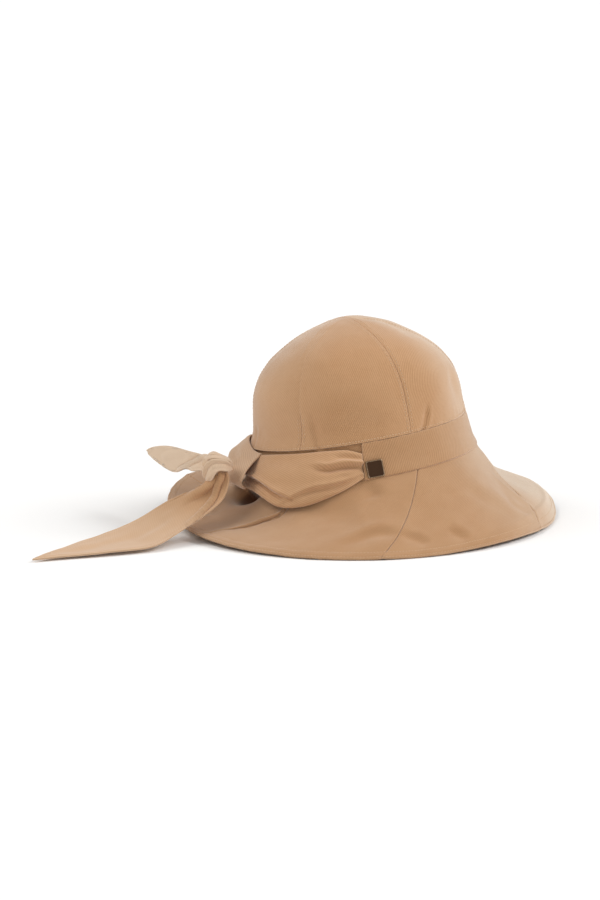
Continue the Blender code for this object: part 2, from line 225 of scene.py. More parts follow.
def lean(points):
    """Points in the hat's own axes, from the ring's centre, as points over the table."""
    return np.asarray(points, float) @ lean_matrix().T + np.array([0, 0, RING_LIFT])


def oval(angle, inset, height, shift=0.0):
    """Points of an oval round the hat's axis, inset from the ring and at a height over it."""
    turn = np.radians(np.asarray(angle, float))
    shift = np.asarray(shift, float)[..., None] * outward(SHIFT_TOWARDS)
    flat = np.stack(
        [
            (HEAD_LENGTH / 2 - inset) * np.cos(turn),
            (HEAD_WIDTH / 2 - inset) * np.sin(turn),
            height + np.zeros_like(turn),
        ],
        axis=-1,
    )
    return flat + shift


def band_point(angle, rise, standoff=0.0):
    """The band's outer surface: rise 0 is the brim seam and 1 the crown seam."""
    rise = np.asarray(rise, float)
    shift = CROWN_SHIFT * BAND_SHIFT_SHARE * rise
    return lean(oval(angle, BAND_TAPER * rise - standoff, BAND_HEIGHT * rise, shift))


def seam_distance(angle):
    """0 on a crown seam and 1 in the middle of a panel."""
    return np.abs(np.sin(np.radians(angle - 180.0 / PANELS) * PANELS / 2))


def dent(angle, height):
    """How far the crown is pushed in at this place."""
    depth = np.zeros(np.broadcast(angle, height).shape)
    for row in DENTS:
        at, level, width, spread, share = row
        away = (np.asarray(angle) - at + 180) % 360 - 180
        depth = depth + share * np.exp(-((away / width) ** 2) - ((height - level) / spread) ** 2)
    return DENT_DEPTH * depth


def crown_point(angle, rise):
    """The crown's outer surface: rise 0 is the band seam and 1 the apex."""
    angle, rise = np.broadcast_arrays(np.asarray(angle, float), np.asarray(rise, float))
    height, reach, shift = (
        down_the_table(column(CROWN_PROFILE, CROWN_COLUMNS, name), rise)
        for name in CROWN_COLUMNS
    )
    puff = PANEL_PUFF * seam_distance(angle) * 4 * height * np.maximum(1 - height, 0) * reach
    push = puff - dent(angle, height) * reach
    turn = np.radians(angle)
    flat = np.stack(
        [
            ((HEAD_LENGTH / 2 - BAND_TAPER) * reach + push) * np.cos(turn),
            ((HEAD_WIDTH / 2 - BAND_TAPER) * reach + push) * np.sin(turn),
            BAND_HEIGHT + CROWN_HEIGHT * height,
        ],
        axis=-1,
    )
    return lean(flat + CROWN_SHIFT * shift[..., None] * outward(SHIFT_TOWARDS))


def brim_point(angle, share):
    """The brim's outer surface: share 0 is the band seam and 1 the top of the hem's edge."""
    angle, share = np.broadcast_arrays(np.asarray(angle, float), np.asarray(share, float))
    inner = band_point(angle, 0.0)
    out = outward(angle)
    up = np.array([0.0, 0.0, 1.0])
    reach, lift, ring_slope, rim_slope = (
        round_the_hat(column(BRIM_SECTIONS, BRIM_COLUMNS, name), angle)
        for name in BRIM_COLUMNS[1:]
    )
    lift = HEM_DROP + RIM_LIFT * np.maximum(lift, 0.0)
    rim = oval(angle, 0.0, 0.0) + out * BRIM_REACH * reach[..., None] + up * lift[..., None]
    length = np.linalg.norm(rim - inner, axis=-1)[..., None] / 3

    def fall(slope):
        slope = np.radians(slope)[..., None]
        return out * np.cos(slope) - up * np.sin(slope)

    near, far = inner + fall(ring_slope) * length, rim - fall(rim_slope) * length
    t = share[..., None]
    return (
        inner * (1 - t) ** 3
        + 3 * near * t * (1 - t) ** 2
        + 3 * far * t**2 * (1 - t)
        + rim * t**3
    )


def sash_point(table, along, across):
    """A half of the sash: along 0 at the band's end and 1 at the back, across 0 at its top."""
    along, across = np.broadcast_arrays(np.asarray(along, float), np.asarray(across, float))
    angle, top_rise, top_off, belly, hem_out, hem_off, turn = (
        down_the_table(column(table, SASH_COLUMNS, name), along) for name in SASH_COLUMNS
    )
    top = band_point(angle, top_rise, SASH_STANDOFF * top_off)
    hem = brim_point(angle, hem_out)
    hem = hem + SASH_STANDOFF * hem_off[..., None] * np.array([0.0, 0.0, 1.0])
    bulge = outward(angle + turn) * SASH_BELLY * belly[..., None]
    upper = top + (hem - top) * 0.30 + bulge
    lower = top + (hem - top) * 0.75 + bulge * 0.9
    t = across[..., None]
    return (
        top * (1 - t) ** 3
        + 3 * upper * t * (1 - t) ** 2
        + 3 * lower * t**2 * (1 - t)
        + hem * t**3
    )


def knot_point(turn, rise):
    """The knot: a wrapped lump with creases; turn goes round it and rise from -1 to 1."""
    turn, rise = np.broadcast_arrays(np.asarray(turn, float), np.asarray(rise, float))
    angle = np.radians(turn)
    lift = np.radians(90 * rise)
    crease = 1 - 0.10 * np.abs(np.sin(angle * 2 + 3.0 * rise)) ** 6 * np.cos(lift)
    round_x = np.sign(np.cos(angle)) * np.abs(np.cos(angle)) ** 0.8
    round_y = np.sign(np.sin(angle)) * np.abs(np.sin(angle)) ** 0.8
    ring = np.cos(lift) ** 0.8 * crease
    shape = np.stack(
        [
            KNOT_DEPTH / 2 * ring * round_x,
            KNOT_WIDTH / 2 * ring * round_y,
            KNOT_HEIGHT / 2 * np.sign(rise) * np.abs(np.sin(lift)) ** 0.9,
        ],
        axis=-1,
    )
    return shape + KNOT_MIDDLE


def swept(angle, share):
    """The angle of a brim seam that leaves the ring at angle, share of the way out."""
    return angle - SEAM_SWEEP * np.asarray(share, float)


def seam_inset(radius, gap=SEAM_GAP):
    """Half a seam gap, as an angle in degrees at that distance from the axis."""
    return np.degrees(np.arcsin(np.minimum(gap / 2 / radius, 1.0)))


# Fine cloth

VISUAL_GAP = -0.00006
STITCH_PITCH = 0.0025
STITCH_LENGTH = 0.0018
STITCH_RADIUS = 0.00030
SEAM_STITCH = 0.0026
HEM_WIDTH = 0.0078
EDGE_STEPS = np.array((0.0, 0.08, 0.25, 0.5, 0.85, 1.2, 1.7)) / 1000


def shares(length, step):
    """Shares from 0 to 1 along a cloth's side, about a step apart and closer by both ends."""
    ends = EDGE_STEPS / length
    first = (EDGE_STEPS[-1] + 0.0007) / length
    count = max(int(round(length / step)), 4)
    return np.concatenate([ends, np.linspace(first, 1 - first, count), 1 - ends[::-1]])


def lengths(grid, axis):
    """Distance along the cloth from the first line of the grid."""
    steps = np.linalg.norm(np.diff(grid, axis=axis), axis=-1)
    start = np.zeros_like(np.take(steps, [0], axis=axis))
    return np.cumsum(np.concatenate([start, steps], axis=axis), axis=axis)


def normals(grid):
    """Unit vectors out of the cloth's outer face."""
    found = np.cross(np.gradient(grid, axis=1), np.gradient(grid, axis=0))
    return found / np.maximum(np.linalg.norm(found, axis=-1, keepdims=True), 1e-12)


def smooth(value, low, high):
    """0 below low, 1 above high and smooth between."""
    t = np.clip((np.asarray(value, float) - low) / (high - low), 0, 1)
    return t * t * (3 - 2 * t)


def ripple(grid, size, seed):
    """Smooth noise from about -1 to 1 over points, with hills about a size apart."""
    places = grid.reshape(-1, 3) / size + seed
    return np.array([noise.noise(Vector(p)) for p in places]).reshape(grid.shape[:-1])


def curve_through(points, count=24):
    """A smooth line through points."""
    points, places = np.asarray(points, float), np.linspace(0, 1, count)
    return np.stack([down_the_table(values, places) for values in points.T], axis=-1)


def beside(grid, normal, line):
    """Signed distance of each point from a line on the cloth, + on its left seen from outside
    as the line is followed, and the share of the line that it lies by."""
    nearest = np.full(grid.shape[:-1], np.inf)
    signed, share = np.zeros_like(nearest), np.zeros_like(nearest)
    for k in range(len(line) - 1):
        way = line[k + 1] - line[k]
        t = np.clip(((grid - line[k]) @ way) / (way @ way), 0, 1)
        away = grid - line[k] - t[..., None] * way
        far = np.linalg.norm(away, axis=-1)
        left = np.sign(np.sum(np.cross(normal, way) * away, axis=-1))
        closer = far < nearest
        nearest = np.where(closer, far, nearest)
        signed = np.where(closer, left * far, signed)
        share = np.where(closer, (k + t) / (len(line) - 1), share)
    return signed, share


FOLD_COLUMNS = ("depth", "width", "lip", "start", "end", "path")


def folded(grid, surface, folds):
    """Cloth pushed in along each fold. depth and width are in millimetres, lip raises the
    line's left side as a share of the depth, and start and end are the strengths there."""
    normal = normals(grid)
    height = np.zeros(grid.shape[:-1])
    for depth, width, lip, start, end, path in folds:
        places = curve_through(path)
        line = surface(places[:, 0], places[:, 1])
        signed, share = beside(grid, normal, line)
        near, far = smooth(share, 0, 0.35), smooth(1 - share, 0, 0.35)
        strength = (start + (1 - start) * near) * (end + (1 - end) * far)
        s = signed / (width / 1000)
        shape = -np.exp(-(s**2)) + lip * 1.6 * s * np.exp(-((s / 1.6) ** 2))
        height += depth / 1000 * strength * shape
    return height


def painted_sheen(angle, front, back):
    """Painted sheen round the hat: the cloth is paler where the light falls most, towards the
    front right, and a little at the back left."""
    towards = np.cos(np.radians(angle + 15))
    return front * smooth(towards, 0.45, 1.0) + back * smooth(-towards, 0.35, 1.0)


def dented(angle, level, dents):
    """Soft hollows: where, how wide in degrees and in level, and how deep in millimetres."""
    height = np.zeros(np.broadcast(angle, level).shape)
    for at, middle, width, spread, depth in dents:
        away = (angle - at + 180) % 360 - 180
        height = height - depth / 1000 * np.exp(
            -((away / width) ** 2) - ((level - middle) / spread) ** 2
        )
    return height


def new_piece(name, points, faces, cloth, surface, painted_light=None):
    """A mesh object in the model's frame. cloth holds each point's place on the flat cloth and
    its distance from the cloth's edge, and the last argument is painted light: from 0 to 1 a
    painted sheen that makes the lit cloth paler, and below 0 a painted shade where a deep fold
    lies in shadow."""
    points = np.asarray(points) + SHIFT
    points[:, 2] = np.maximum(points[:, 2], 0.0)
    mesh = bpy.data.meshes.new(name)
    mesh.from_pydata(points.tolist(), [], faces)
    mesh.update()
    if cloth is not None:
        place = mesh.attributes.new("cloth", "FLOAT_VECTOR", "POINT")
        place.data.foreach_set("vector", np.asarray(cloth, np.float32).ravel())
    if painted_light is not None:
        painted_light_attribute = mesh.attributes.new("painted_light", "FLOAT", "POINT")
        painted_light_attribute.data.foreach_set("value", np.asarray(painted_light, np.float32).ravel())
    mesh.materials.append(surface)
    mesh.shade_smooth()
    made = bpy.data.objects.new(name, mesh)
    bpy.context.scene.collection.objects.link(made)
    return made


def shell(name, grid, wall, surface, edge=None, flat=None, groove=0.0, painted_light=0.0):
    """Closed cloth of a wall's thickness under a grid of outer points, with rolled edges. edge
    is each point's distance from the cloth's edge, where it isn't simply the nearest side."""
    rows, columns = grid.shape[:2]
    across, down = lengths(grid, 1), lengths(grid, 0)
    if edge is None:
        edge = np.minimum.reduce([across, across[:, -1:] - across, down, down[-1:] - down])
    if flat is None:
        flat = (across - across[:, columns // 2, None], down)
    half = wall / 2
    normal = normals(grid)
    round_off = np.sqrt(np.clip(1 - (1 - np.clip(edge / half, 0, 1)) ** 2, 0.03, 1))
    middle = grid - normal * half
    outer = middle + normal * (half * round_off)[..., None]
    inner = middle - normal * (half * round_off)[..., None]
    place = np.stack([flat[0], flat[1], edge], axis=-1)

    def number(r, c, side):
        return side * rows * columns + r * columns + c

    faces = []
    for r in range(rows - 1):
        for c in range(columns - 1):
            corners = ((r, c), (r, c + 1), (r + 1, c + 1), (r + 1, c))
            faces.append([number(*k, 0) for k in corners])
            faces.append([number(*k, 1) for k in reversed(corners)])
    rim = [(0, c) for c in range(columns)] + [(r, columns - 1) for r in range(1, rows)]
    rim += [(rows - 1, c) for c in range(columns - 2, -1, -1)]
    rim += [(r, 0) for r in range(rows - 2, 0, -1)]
    points = np.concatenate([outer.reshape(-1, 3), inner.reshape(-1, 3)])
    cloth = np.concatenate([place.reshape(-1, 3)] * 2)
    at = np.array(rim)
    inside = np.stack(
        [np.clip(at[:, 0], 1, rows - 2), np.clip(at[:, 1], 1, columns - 2)], axis=1
    )
    away = middle[at[:, 0], at[:, 1]] - middle[inside[:, 0], inside[:, 1]]
    away /= np.maximum(np.linalg.norm(away, axis=-1, keepdims=True), 1e-12)
    points = np.concatenate([points, middle[at[:, 0], at[:, 1]] - away * groove])
    cloth = np.concatenate([cloth, place[at[:, 0], at[:, 1]]])
    # Painted light (sheen or shade) for each point, on both faces and the edge.
    painted_light = np.broadcast_to(painted_light, grid.shape[:2])
    painted_light = np.concatenate([painted_light.ravel(), painted_light.ravel(), painted_light[at[:, 0], at[:, 1]]])
    first = 2 * rows * columns
    for k in range(len(rim)):
        n = (k + 1) % len(rim)
        a, b, e, f = rim[k], rim[n], first + k, first + n
        faces.append([number(*b, 0), number(*a, 0), e, f])
        faces.append([f, e, number(*a, 1), number(*b, 1)])
    return new_piece(name, points, faces, cloth, surface, painted_light)


def along_rows(grid, values, target, keep):
    """The line where values, which grow along each kept row, reach target."""
    rows = [r for r in range(grid.shape[0]) if keep[r]]
    return np.array(
        [[np.interp(target, values[r], grid[r, :, k]) for k in range(3)] for r in rows]
    )


def stitched(line, normal, pitch=STITCH_PITCH):
    """Places, directions and normals of stitches along a line."""
    far = np.concatenate([[0], np.cumsum(np.linalg.norm(np.diff(line, axis=0), axis=1))])
    count = max(int(far[-1] / pitch), 1)
    at = (np.arange(count) + 0.5) * far[-1] / count

    def reach(distance, values):
        return np.stack([np.interp(distance, far, values[:, k]) for k in range(3)], axis=-1)

    before, after = reach(at - pitch * 0.3, line), reach(at + pitch * 0.3, line)
    way = after - before
    way /= np.maximum(np.linalg.norm(way, axis=-1, keepdims=True), 1e-12)
    return (before + after) / 2, way, reach(at, normal)


STITCH_RINGS = ((-0.5, 0.45, -0.9), (-0.36, 0.95, 0.0), (0.0, 1.0, 0.25), (0.36, 0.95, 0.0), (0.5, 0.45, -0.9))
STITCH_SIDES = 6


def stitches(name, rows, surface, radius=STITCH_RADIUS):
    """One mesh of short raised threads along stitched rows."""
    centre, way, up = (np.concatenate([row[k] for row in rows]) for k in range(3))
    side = np.cross(up, way)
    side /= np.maximum(np.linalg.norm(side, axis=-1, keepdims=True), 1e-12)
    up = np.cross(way, side)
    turn = np.linspace(0, 2 * np.pi, STITCH_SIDES, endpoint=False)
    rings = []
    for along, thick, lift in STITCH_RINGS:
        ring = centre + way * along * STITCH_LENGTH + up * (lift * radius)
        for angle in turn:
            spoke = side * math.cos(angle) + up * math.sin(angle)
            rings.append(ring + spoke * thick * radius)
    points = np.stack(rings, axis=1).reshape(-1, 3)
    each = len(STITCH_RINGS) * STITCH_SIDES
    template = []
    for ring in range(len(STITCH_RINGS) - 1):
        for k in range(STITCH_SIDES):
            n = (k + 1) % STITCH_SIDES
            a, b = ring * STITCH_SIDES, (ring + 1) * STITCH_SIDES
            template.append([a + k, a + n, b + n, b + k])
    template.append(list(range(STITCH_SIDES))[::-1])
    template.append([each - STITCH_SIDES + k for k in range(STITCH_SIDES)])
    faces = [[v + s * each for v in face] for s in range(len(centre)) for face in template]
    cloth = np.stack([points[:, 0], points[:, 1], points[:, 2]], axis=-1)
    return new_piece(name, points, faces, cloth, surface)


# Finishes


def mixed(tree, kind, a, b, factor=None):
    """A Math node of a kind."""
    node = tree.nodes.new("ShaderNodeMath")
    node.operation = kind
    for socket, value in zip(node.inputs, (a, b, factor)):
        if value is None:
            continue
        if isinstance(value, (int, float)):
            socket.default_value = value
        else:
            tree.links.new(value, socket)
    return node.outputs[0]


def tinted(tree, factor, low, high, blend_type="MIX"):
    """A colour mix from low to high."""
    node = tree.nodes.new("ShaderNodeMix")
    node.data_type, node.blend_type = "RGBA", blend_type
    for socket, value in ((node.inputs[0], factor), (node.inputs[6], low), (node.inputs[7], high)):
        if isinstance(value, tuple):
            socket.default_value = (*value, 1.0)
        elif isinstance(value, (int, float)):
            socket.default_value = value
        else:
            tree.links.new(value, socket)
    return node.outputs[2]


def noisy(tree, vector, size, detail=2.0, roughness=0.5):
    """Noise with features about a size in metres across."""
    node = tree.nodes.new("ShaderNodeTexNoise")
    node.inputs["Scale"].default_value = 1.0 / size
    node.inputs["Detail"].default_value = detail
    node.inputs["Roughness"].default_value = roughness
    tree.links.new(vector, node.inputs["Vector"])
    return node.outputs["Fac"]


def ranged(tree, value, low, high, new_low, new_high):
    node = tree.nodes.new("ShaderNodeMapRange")
    node.interpolation_type = "SMOOTHSTEP"
    for socket, number in zip(node.inputs[1:5], (low, high, new_low, new_high)):
        socket.default_value = number
    tree.links.new(value, node.inputs[0])
    return node.outputs[0]


WALE_PITCH = 0.00150
# The first colour is painted shade in the weave's valleys, between the yarns.
CLOTH_VALLEY_SHADE = (0.420, 0.218, 0.098)
CLOTH_MAIN = (0.535, 0.303, 0.152)
CLOTH_WORN = (0.640, 0.430, 0.270)
# These two colours are painted light: a pale sheen where light falls and a deep shade in hollows.
CLOTH_PAINTED_SHEEN = (0.775, 0.630, 0.480)
CLOTH_PAINTED_SHADE = (0.160, 0.070, 0.032)


def twill(name, turn, tone=1.0, relief=0.55, contrast=1.0, worn=0.5):
    """Cotton twill: diagonal wales that run at turn degrees over the flat cloth, broken into
    single floats of yarn, with slubs, soft mottling and paler rubbed edges. The weave's valleys
    are darker, a painted shade between the yarns, and each point's painted light value paints a
    pale sheen or a deep shade. tone scales the cloth's colour; the copies below use it as painted
    light and shade."""
    made = bpy.data.materials.new(name)
    made.use_nodes = True
    tree = made.node_tree
    shader = tree.nodes["Principled BSDF"]
    place = tree.nodes.new("ShaderNodeAttribute")
    place.attribute_name = "cloth"
    flat = place.outputs["Vector"]
    apart = tree.nodes.new("ShaderNodeSeparateXYZ")
    tree.links.new(flat, apart.inputs[0])
    u, v, edge = apart.outputs
    c, s = math.cos(math.radians(turn)), math.sin(math.radians(turn))
    along = mixed(tree, "ADD", mixed(tree, "MULTIPLY", u, c), mixed(tree, "MULTIPLY", v, s))
    over = mixed(tree, "SUBTRACT", mixed(tree, "MULTIPLY", v, c), mixed(tree, "MULTIPLY", u, s))

    wander = noisy(tree, flat, 0.009, 2.0)
    count = 2 * math.pi / WALE_PITCH
    phase = mixed(tree, "MULTIPLY_ADD", over, count, mixed(tree, "MULTIPLY", wander, 5.0))
    wale = mixed(tree, "MULTIPLY_ADD", mixed(tree, "SINE", phase, 0.0), 0.5, 0.5)
    beads = mixed(tree, "MULTIPLY_ADD", along, count * 1.25, mixed(tree, "MULTIPLY", phase, 0.5))
    bead = mixed(tree, "MULTIPLY_ADD", mixed(tree, "SINE", beads, 0.0), 0.5, 0.5)
    fuzz = noisy(tree, flat, 0.00045, 2.0, 0.6)
    slub = noisy(tree, flat, 0.0035, 2.0, 0.6)
    yarn = mixed(tree, "MULTIPLY_ADD", wale, 0.62, mixed(tree, "MULTIPLY", bead, 0.16))
    yarn = mixed(tree, "MULTIPLY_ADD", fuzz, 0.30, yarn)
    height = mixed(tree, "MULTIPLY_ADD", slub, 0.25, yarn)

    # Painted shade: the weave's valleys take the darker colour, mixed with the yarn's own uneven tone from fuzz and
    # slubs.
    dark, main = (tuple(tone * part for part in colour) for colour in (CLOTH_VALLEY_SHADE, CLOTH_MAIN))
    body = tinted(tree, ranged(tree, height, 0.25, 1.0, 1 - contrast, 1.0), dark, main)
    patchy = ranged(tree, noisy(tree, flat, 0.030, 3.0), 0.3, 0.7, 0.0, 0.16)
    body = tinted(tree, patchy, body, (0.59, 0.365, 0.205))
    warm = ranged(tree, noisy(tree, flat, 0.012, 2.0), 0.45, 0.8, 0.0, 0.14)
    body = tinted(tree, warm, body, (0.49, 0.245, 0.110))
    rub = ranged(tree, edge, 0.0002, 0.0016, worn, 0.0)
    body = tinted(tree, mixed(tree, "MULTIPLY", rub, slub), body, CLOTH_WORN)
    # Painted sheen: from 0 to 1 the cloth goes towards a pale colour where the light falls, most on the yarn tops.
    painted_light_attribute = tree.nodes.new("ShaderNodeAttribute")
    painted_light_attribute.attribute_name = "painted_light"
    weave = ranged(tree, height, 0.2, 1.0, 1 - 0.30 * contrast, 1.0)
    body = tinted(tree, mixed(tree, "MULTIPLY", painted_light_attribute.outputs["Fac"], weave), body, CLOTH_PAINTED_SHEEN)
    # Painted shade: below 0 the cloth goes towards a deep brown, where a deep fold lies in shadow.
    painted_shade = ranged(tree, painted_light_attribute.outputs["Fac"], -1.0, 0.0, 1.0, 0.0)
    body = tinted(tree, painted_shade, body, CLOTH_PAINTED_SHADE)
    tree.links.new(body, shader.inputs["Base Color"])

    bump = tree.nodes.new("ShaderNodeBump")
    bump.inputs["Strength"].default_value = relief
    bump.inputs["Distance"].default_value = 0.00028
    tree.links.new(height, bump.inputs["Height"])
    tree.links.new(bump.outputs[0], shader.inputs["Normal"])
    shader.inputs["Roughness"].default_value = 0.88
    shader.inputs["Specular IOR Level"].default_value = 0.25
    shader.inputs["Sheen Weight"].default_value = 0.60
    shader.inputs["Sheen Roughness"].default_value = 0.45
    shader.inputs["Sheen Tint"].default_value = (1.0, 0.95, 0.90, 1.0)
    return made


def thread():
    """Sewing thread, a little paler than the cloth, with a twist."""
    made = bpy.data.materials.new("thread")
    made.use_nodes = True
    tree = made.node_tree
    shader = tree.nodes["Principled BSDF"]
    place = tree.nodes.new("ShaderNodeAttribute")
    place.attribute_name = "cloth"
    twist = noisy(tree, place.outputs["Vector"], 0.0004, 1.0)
    tone = tinted(tree, twist, (0.50, 0.31, 0.17), (0.76, 0.56, 0.38))
    tree.links.new(tone, shader.inputs["Base Color"])
    shader.inputs["Roughness"].default_value = 0.7
    shader.inputs["Specular IOR Level"].default_value = 0.3
    return made


def antique_brass():
    """Dark aged brass, brown in its recess and rubbed brighter on the frame."""
    made = bpy.data.materials.new("antique_brass")
    made.use_nodes = True
    tree = made.node_tree
    shader = tree.nodes["Principled BSDF"]
    place = tree.nodes.new("ShaderNodeAttribute")
    place.attribute_name = "cloth"
    flat = place.outputs["Vector"]
    apart = tree.nodes.new("ShaderNodeSeparateXYZ")
    tree.links.new(flat, apart.inputs[0])
    raised = apart.outputs[2]
    age = noisy(tree, flat, 0.0016, 4.0, 0.65)
    rub = mixed(tree, "MULTIPLY", raised, ranged(tree, age, 0.35, 0.7, 0.2, 1.0))
    tone = tinted(tree, rub, (0.085, 0.045, 0.026), (0.50, 0.36, 0.23))
    tree.links.new(tone, shader.inputs["Base Color"])
    tree.links.new(ranged(tree, age, 0.3, 0.8, 0.52, 0.30), shader.inputs["Roughness"])
    bump = tree.nodes.new("ShaderNodeBump")
    bump.inputs["Strength"].default_value = 0.35
    bump.inputs["Distance"].default_value = 0.0001
    tree.links.new(age, bump.inputs["Height"])
    tree.links.new(bump.outputs[0], shader.inputs["Normal"])
    shader.inputs["Metallic"].default_value = 1.0
    return made


# Painted light and shade: one cloth, with the crown and sash copies made lighter and the band and brim copies
# darker.
CROWN_TWILL = twill("twill_crown", 60.0, 1.04)
BAND_TWILL = twill("twill_band", 44.0, 0.93)
BRIM_TWILL = twill("twill_brim", 45.0, 0.94)
SASH_TWILL = twill("twill_sash", -24.0, 1.06)
TAIL_TWILL = twill("twill_tail", 40.0, relief=0.22, contrast=0.35)
THREAD = thread()


def dressed(piece, *nodes, finish="twill"):
    """The piece moves with the hat and stands for its nodes."""
    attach(piece, "root")
    if nodes:
        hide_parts(*nodes)
    return piece


# Crown

CROWN_FOLDS = (
    (1.3, 1.8, 0.8, 0.0, 1.0, ((-76.0, 0.19), (-78.0, 0.10), (-80.0, 0.05), (-81.5, 0.0))),
    (1.4, 2.6, -0.6, 0.0, 1.0, ((-144.5, 0.24), (-143.0, 0.15), (-141.5, 0.07), (-140.0, 0.0))),
    (1.6, 7.0, 0.6, 0.0, 0.4, ((-52.0, 0.32), (-47.0, 0.25), (-45.0, 0.18), (-38.0, 0.08))),
    (0.9, 6.0, 0.3, 0.0, 0.0, ((-60.0, 0.62), (-50.0, 0.66), (-38.0, 0.74), (-20.0, 0.76))),
    (0.8, 9.0, 0.2, 0.0, 0.0, ((-158.0, 0.66), (-148.0, 0.46), (-151.0, 0.26))),
    (0.7, 8.0, 0.2, 0.0, 0.0, ((60.0, 0.55), (72.0, 0.35), (70.0, 0.15))),
    (0.9, 7.0, 0.4, 0.0, 0.0, ((140.0, 0.5), (128.0, 0.32), (130.0, 0.12))),
    (0.9, 3.0, 0.5, 0.0, 1.0, ((96.0, 0.20), (99.0, 0.10), (101.0, 0.0))),
    (0.9, 3.0, -0.5, 0.0, 1.0, ((20.0, 0.18), (18.0, 0.09), (17.0, 0.0))),
    (0.9, 3.0, 0.5, 0.0, 1.0, ((172.0, 0.18), (170.0, 0.09), (169.0, 0.0))),
)

FELLED_SEAM = 210.0
CROWN_DENTS = (
    (150, 0.65, 48, 0.25, 3.1),
    (-30, 0.62, 38, 0.24, 2.8),
    (-36, 0.86, 30, 0.08, 2.2),
)


def crown_grid(index):
    half = 180.0 / PANELS
    rise = (0.001 + 0.999 * shares(0.120, 0.0013))[:, None]
    reach = down_the_table(column(CROWN_PROFILE, CROWN_COLUMNS, "reach"), rise)
    inset = seam_inset(np.maximum(reach * HEAD_WIDTH / 2, 0.0004), VISUAL_GAP)
    spread = shares(0.095, 0.0017)[None, :] * 2 - 1
    angle = index * 2 * half + (half - inset) * spread
    return crown_point(angle, rise + 0 * spread), angle, rise


def crown_cloth(index):
    base, angle, rise = crown_grid(index)
    across, down = lengths(base, 1), lengths(base, 0)
    left, right = across, across[:, -1:] - across
    seam = np.minimum(left, right)
    wide = across[:, -1:] + 0 * seam
    near_top = smooth(wide, 0.006, 0.020)
    height = folded(base, crown_point, CROWN_FOLDS) + dented(angle, rise, CROWN_DENTS)
    height += 0.0009 * ripple(base, 0.034, 3.1) + 0.00025 * ripple(base, 0.011, 7.7)
    height += near_top * 0.00028 * np.exp(-(((seam - 0.0030) / 0.0022) ** 2))
    height -= near_top * 0.00026 * np.exp(-(((seam - SEAM_STITCH) / 0.0005) ** 2))
    pucker = np.sin(2 * np.pi * down / 0.0050 + 3 * ripple(base, 0.02, 1.3))
    height += near_top * 0.00013 * pucker * np.exp(-(((seam - 0.0022) / 0.0022) ** 2))
    height -= 0.00026 * np.exp(-(((down - 0.0017) / 0.0005) ** 2))
    gather = ripple(np.stack([across, 0 * across, 0 * across], axis=-1), 0.0042, 9.0 + index)
    height += 0.00040 * gather * np.exp(-((down / 0.010) ** 2))
    grid = base + normals(base) * height[..., None]

    closed = smooth(rise, 0.18, 0.34) * (np.abs(angle - FELLED_SEAM) < 15)
    edge = np.minimum.reduce(
        [seam + 0.0009 * closed, down + 0.0003, down[-1:] - down + 0.0012]
    )
    flat = (across - across[:, across.shape[1] // 2, None], down)
    # Painted sheen: paler on the side the light falls on, and a little towards the top.
    painted_light = painted_sheen(angle, 0.46, 0.12) + 0.04 * smooth(rise, 0.6, 0.9)
    piece = shell(f"crown_cloth_{index + 1}", grid, CROWN_WALL, CROWN_TWILL, edge, flat, 0, painted_light)
    dressed(piece, f"crown_panel_{index + 1}")

    normal = normals(grid)
    keep = (wide[:, 0] > 0.016) & (down[:, 0] > 0.003)
    rows = []
    for values, flip, side in ((left, 1, -1), (right[:, ::-1], -1, 1)):
        sewn_seam = index * 360.0 / PANELS + side * 180.0 / PANELS
        shown = keep & ((rise[:, 0] < 0.22) | (sewn_seam != FELLED_SEAM))
        line = along_rows(grid[:, ::flip], values, SEAM_STITCH, shown)
        rows.append(stitched(line, along_rows(normal[:, ::flip], values, SEAM_STITCH, shown)))
    turned, up = grid.transpose(1, 0, 2), normal.transpose(1, 0, 2)
    keep = np.ones(len(turned), bool)
    line = along_rows(turned, down.T, 0.0017, keep)
    rows.append(stitched(line, along_rows(up, down.T, 0.0017, keep)))
    sewn = dressed(stitches(f"crown_stitches_{index + 1}", rows, THREAD))


# Brim

BRIM_FOLDS = (
    (1.3, 1.1, -1.2, 0.6, 0.0, ((-152.5, 0.26), (-153.6, 0.36), (-159.4, 0.47), (-163.2, 0.61), (-170.0, 0.77))),
    (1.6, 6.0, 0.5, 0.6, 0.0, ((-116.5, 0.04), (-113.0, 0.13), (-111.5, 0.24))),
    (1.9, 4.6, 0.6, 0.0, 0.0, ((-127.0, 0.84), (-118.0, 0.69), (-111.0, 0.655), (-105.5, 0.74))),
    (1.6, 3.8, 0.5, 0.0, 0.0, ((-107.0, 0.70), (-101.0, 0.775), (-98.0, 0.87))),
    (1.6, 4.0, 0.6, 0.0, 0.0, ((-90.0, 0.70), (-87.0, 0.80), (-84.5, 0.90))),
    (1.6, 11.0, 0.5, 0.0, 0.0, ((-145.0, 0.24), (-132.0, 0.36), (-118.0, 0.34))),
    (1.4, 8.0, 0.4, 0.0, 0.0, ((-70.0, 0.25), (-66.0, 0.50), (-60.0, 0.80))),
    (-1.6, 3.0, 0.5, 0.0, 0.0, ((-43.0, 0.22), (-45.5, 0.43), (-47.5, 0.58), (-48.2, 0.69), (-49.0, 0.86))),
    (0.7, 3.6, 0.4, 0.0, 0.0, ((-50.0, 0.40), (-53.0, 0.55), (-55.5, 0.66), (-54.2, 0.79), (-51.0, 0.92))),
    (1.4, 7.0, 0.4, 0.0, 0.0, ((30.0, 0.25), (34.0, 0.55), (30.0, 0.85))),
    (1.5, 8.0, -0.4, 0.0, 0.0, ((75.0, 0.25), (80.0, 0.60), (78.0, 0.85))),
    (1.6, 8.0, 0.5, 0.0, 0.0, ((128.0, 0.40), (122.0, 0.62), (124.0, 0.86))),
    (1.8, 7.0, 0.6, 0.0, 0.0, ((176.0, 0.55), (166.0, 0.66), (158.0, 0.80))),
)
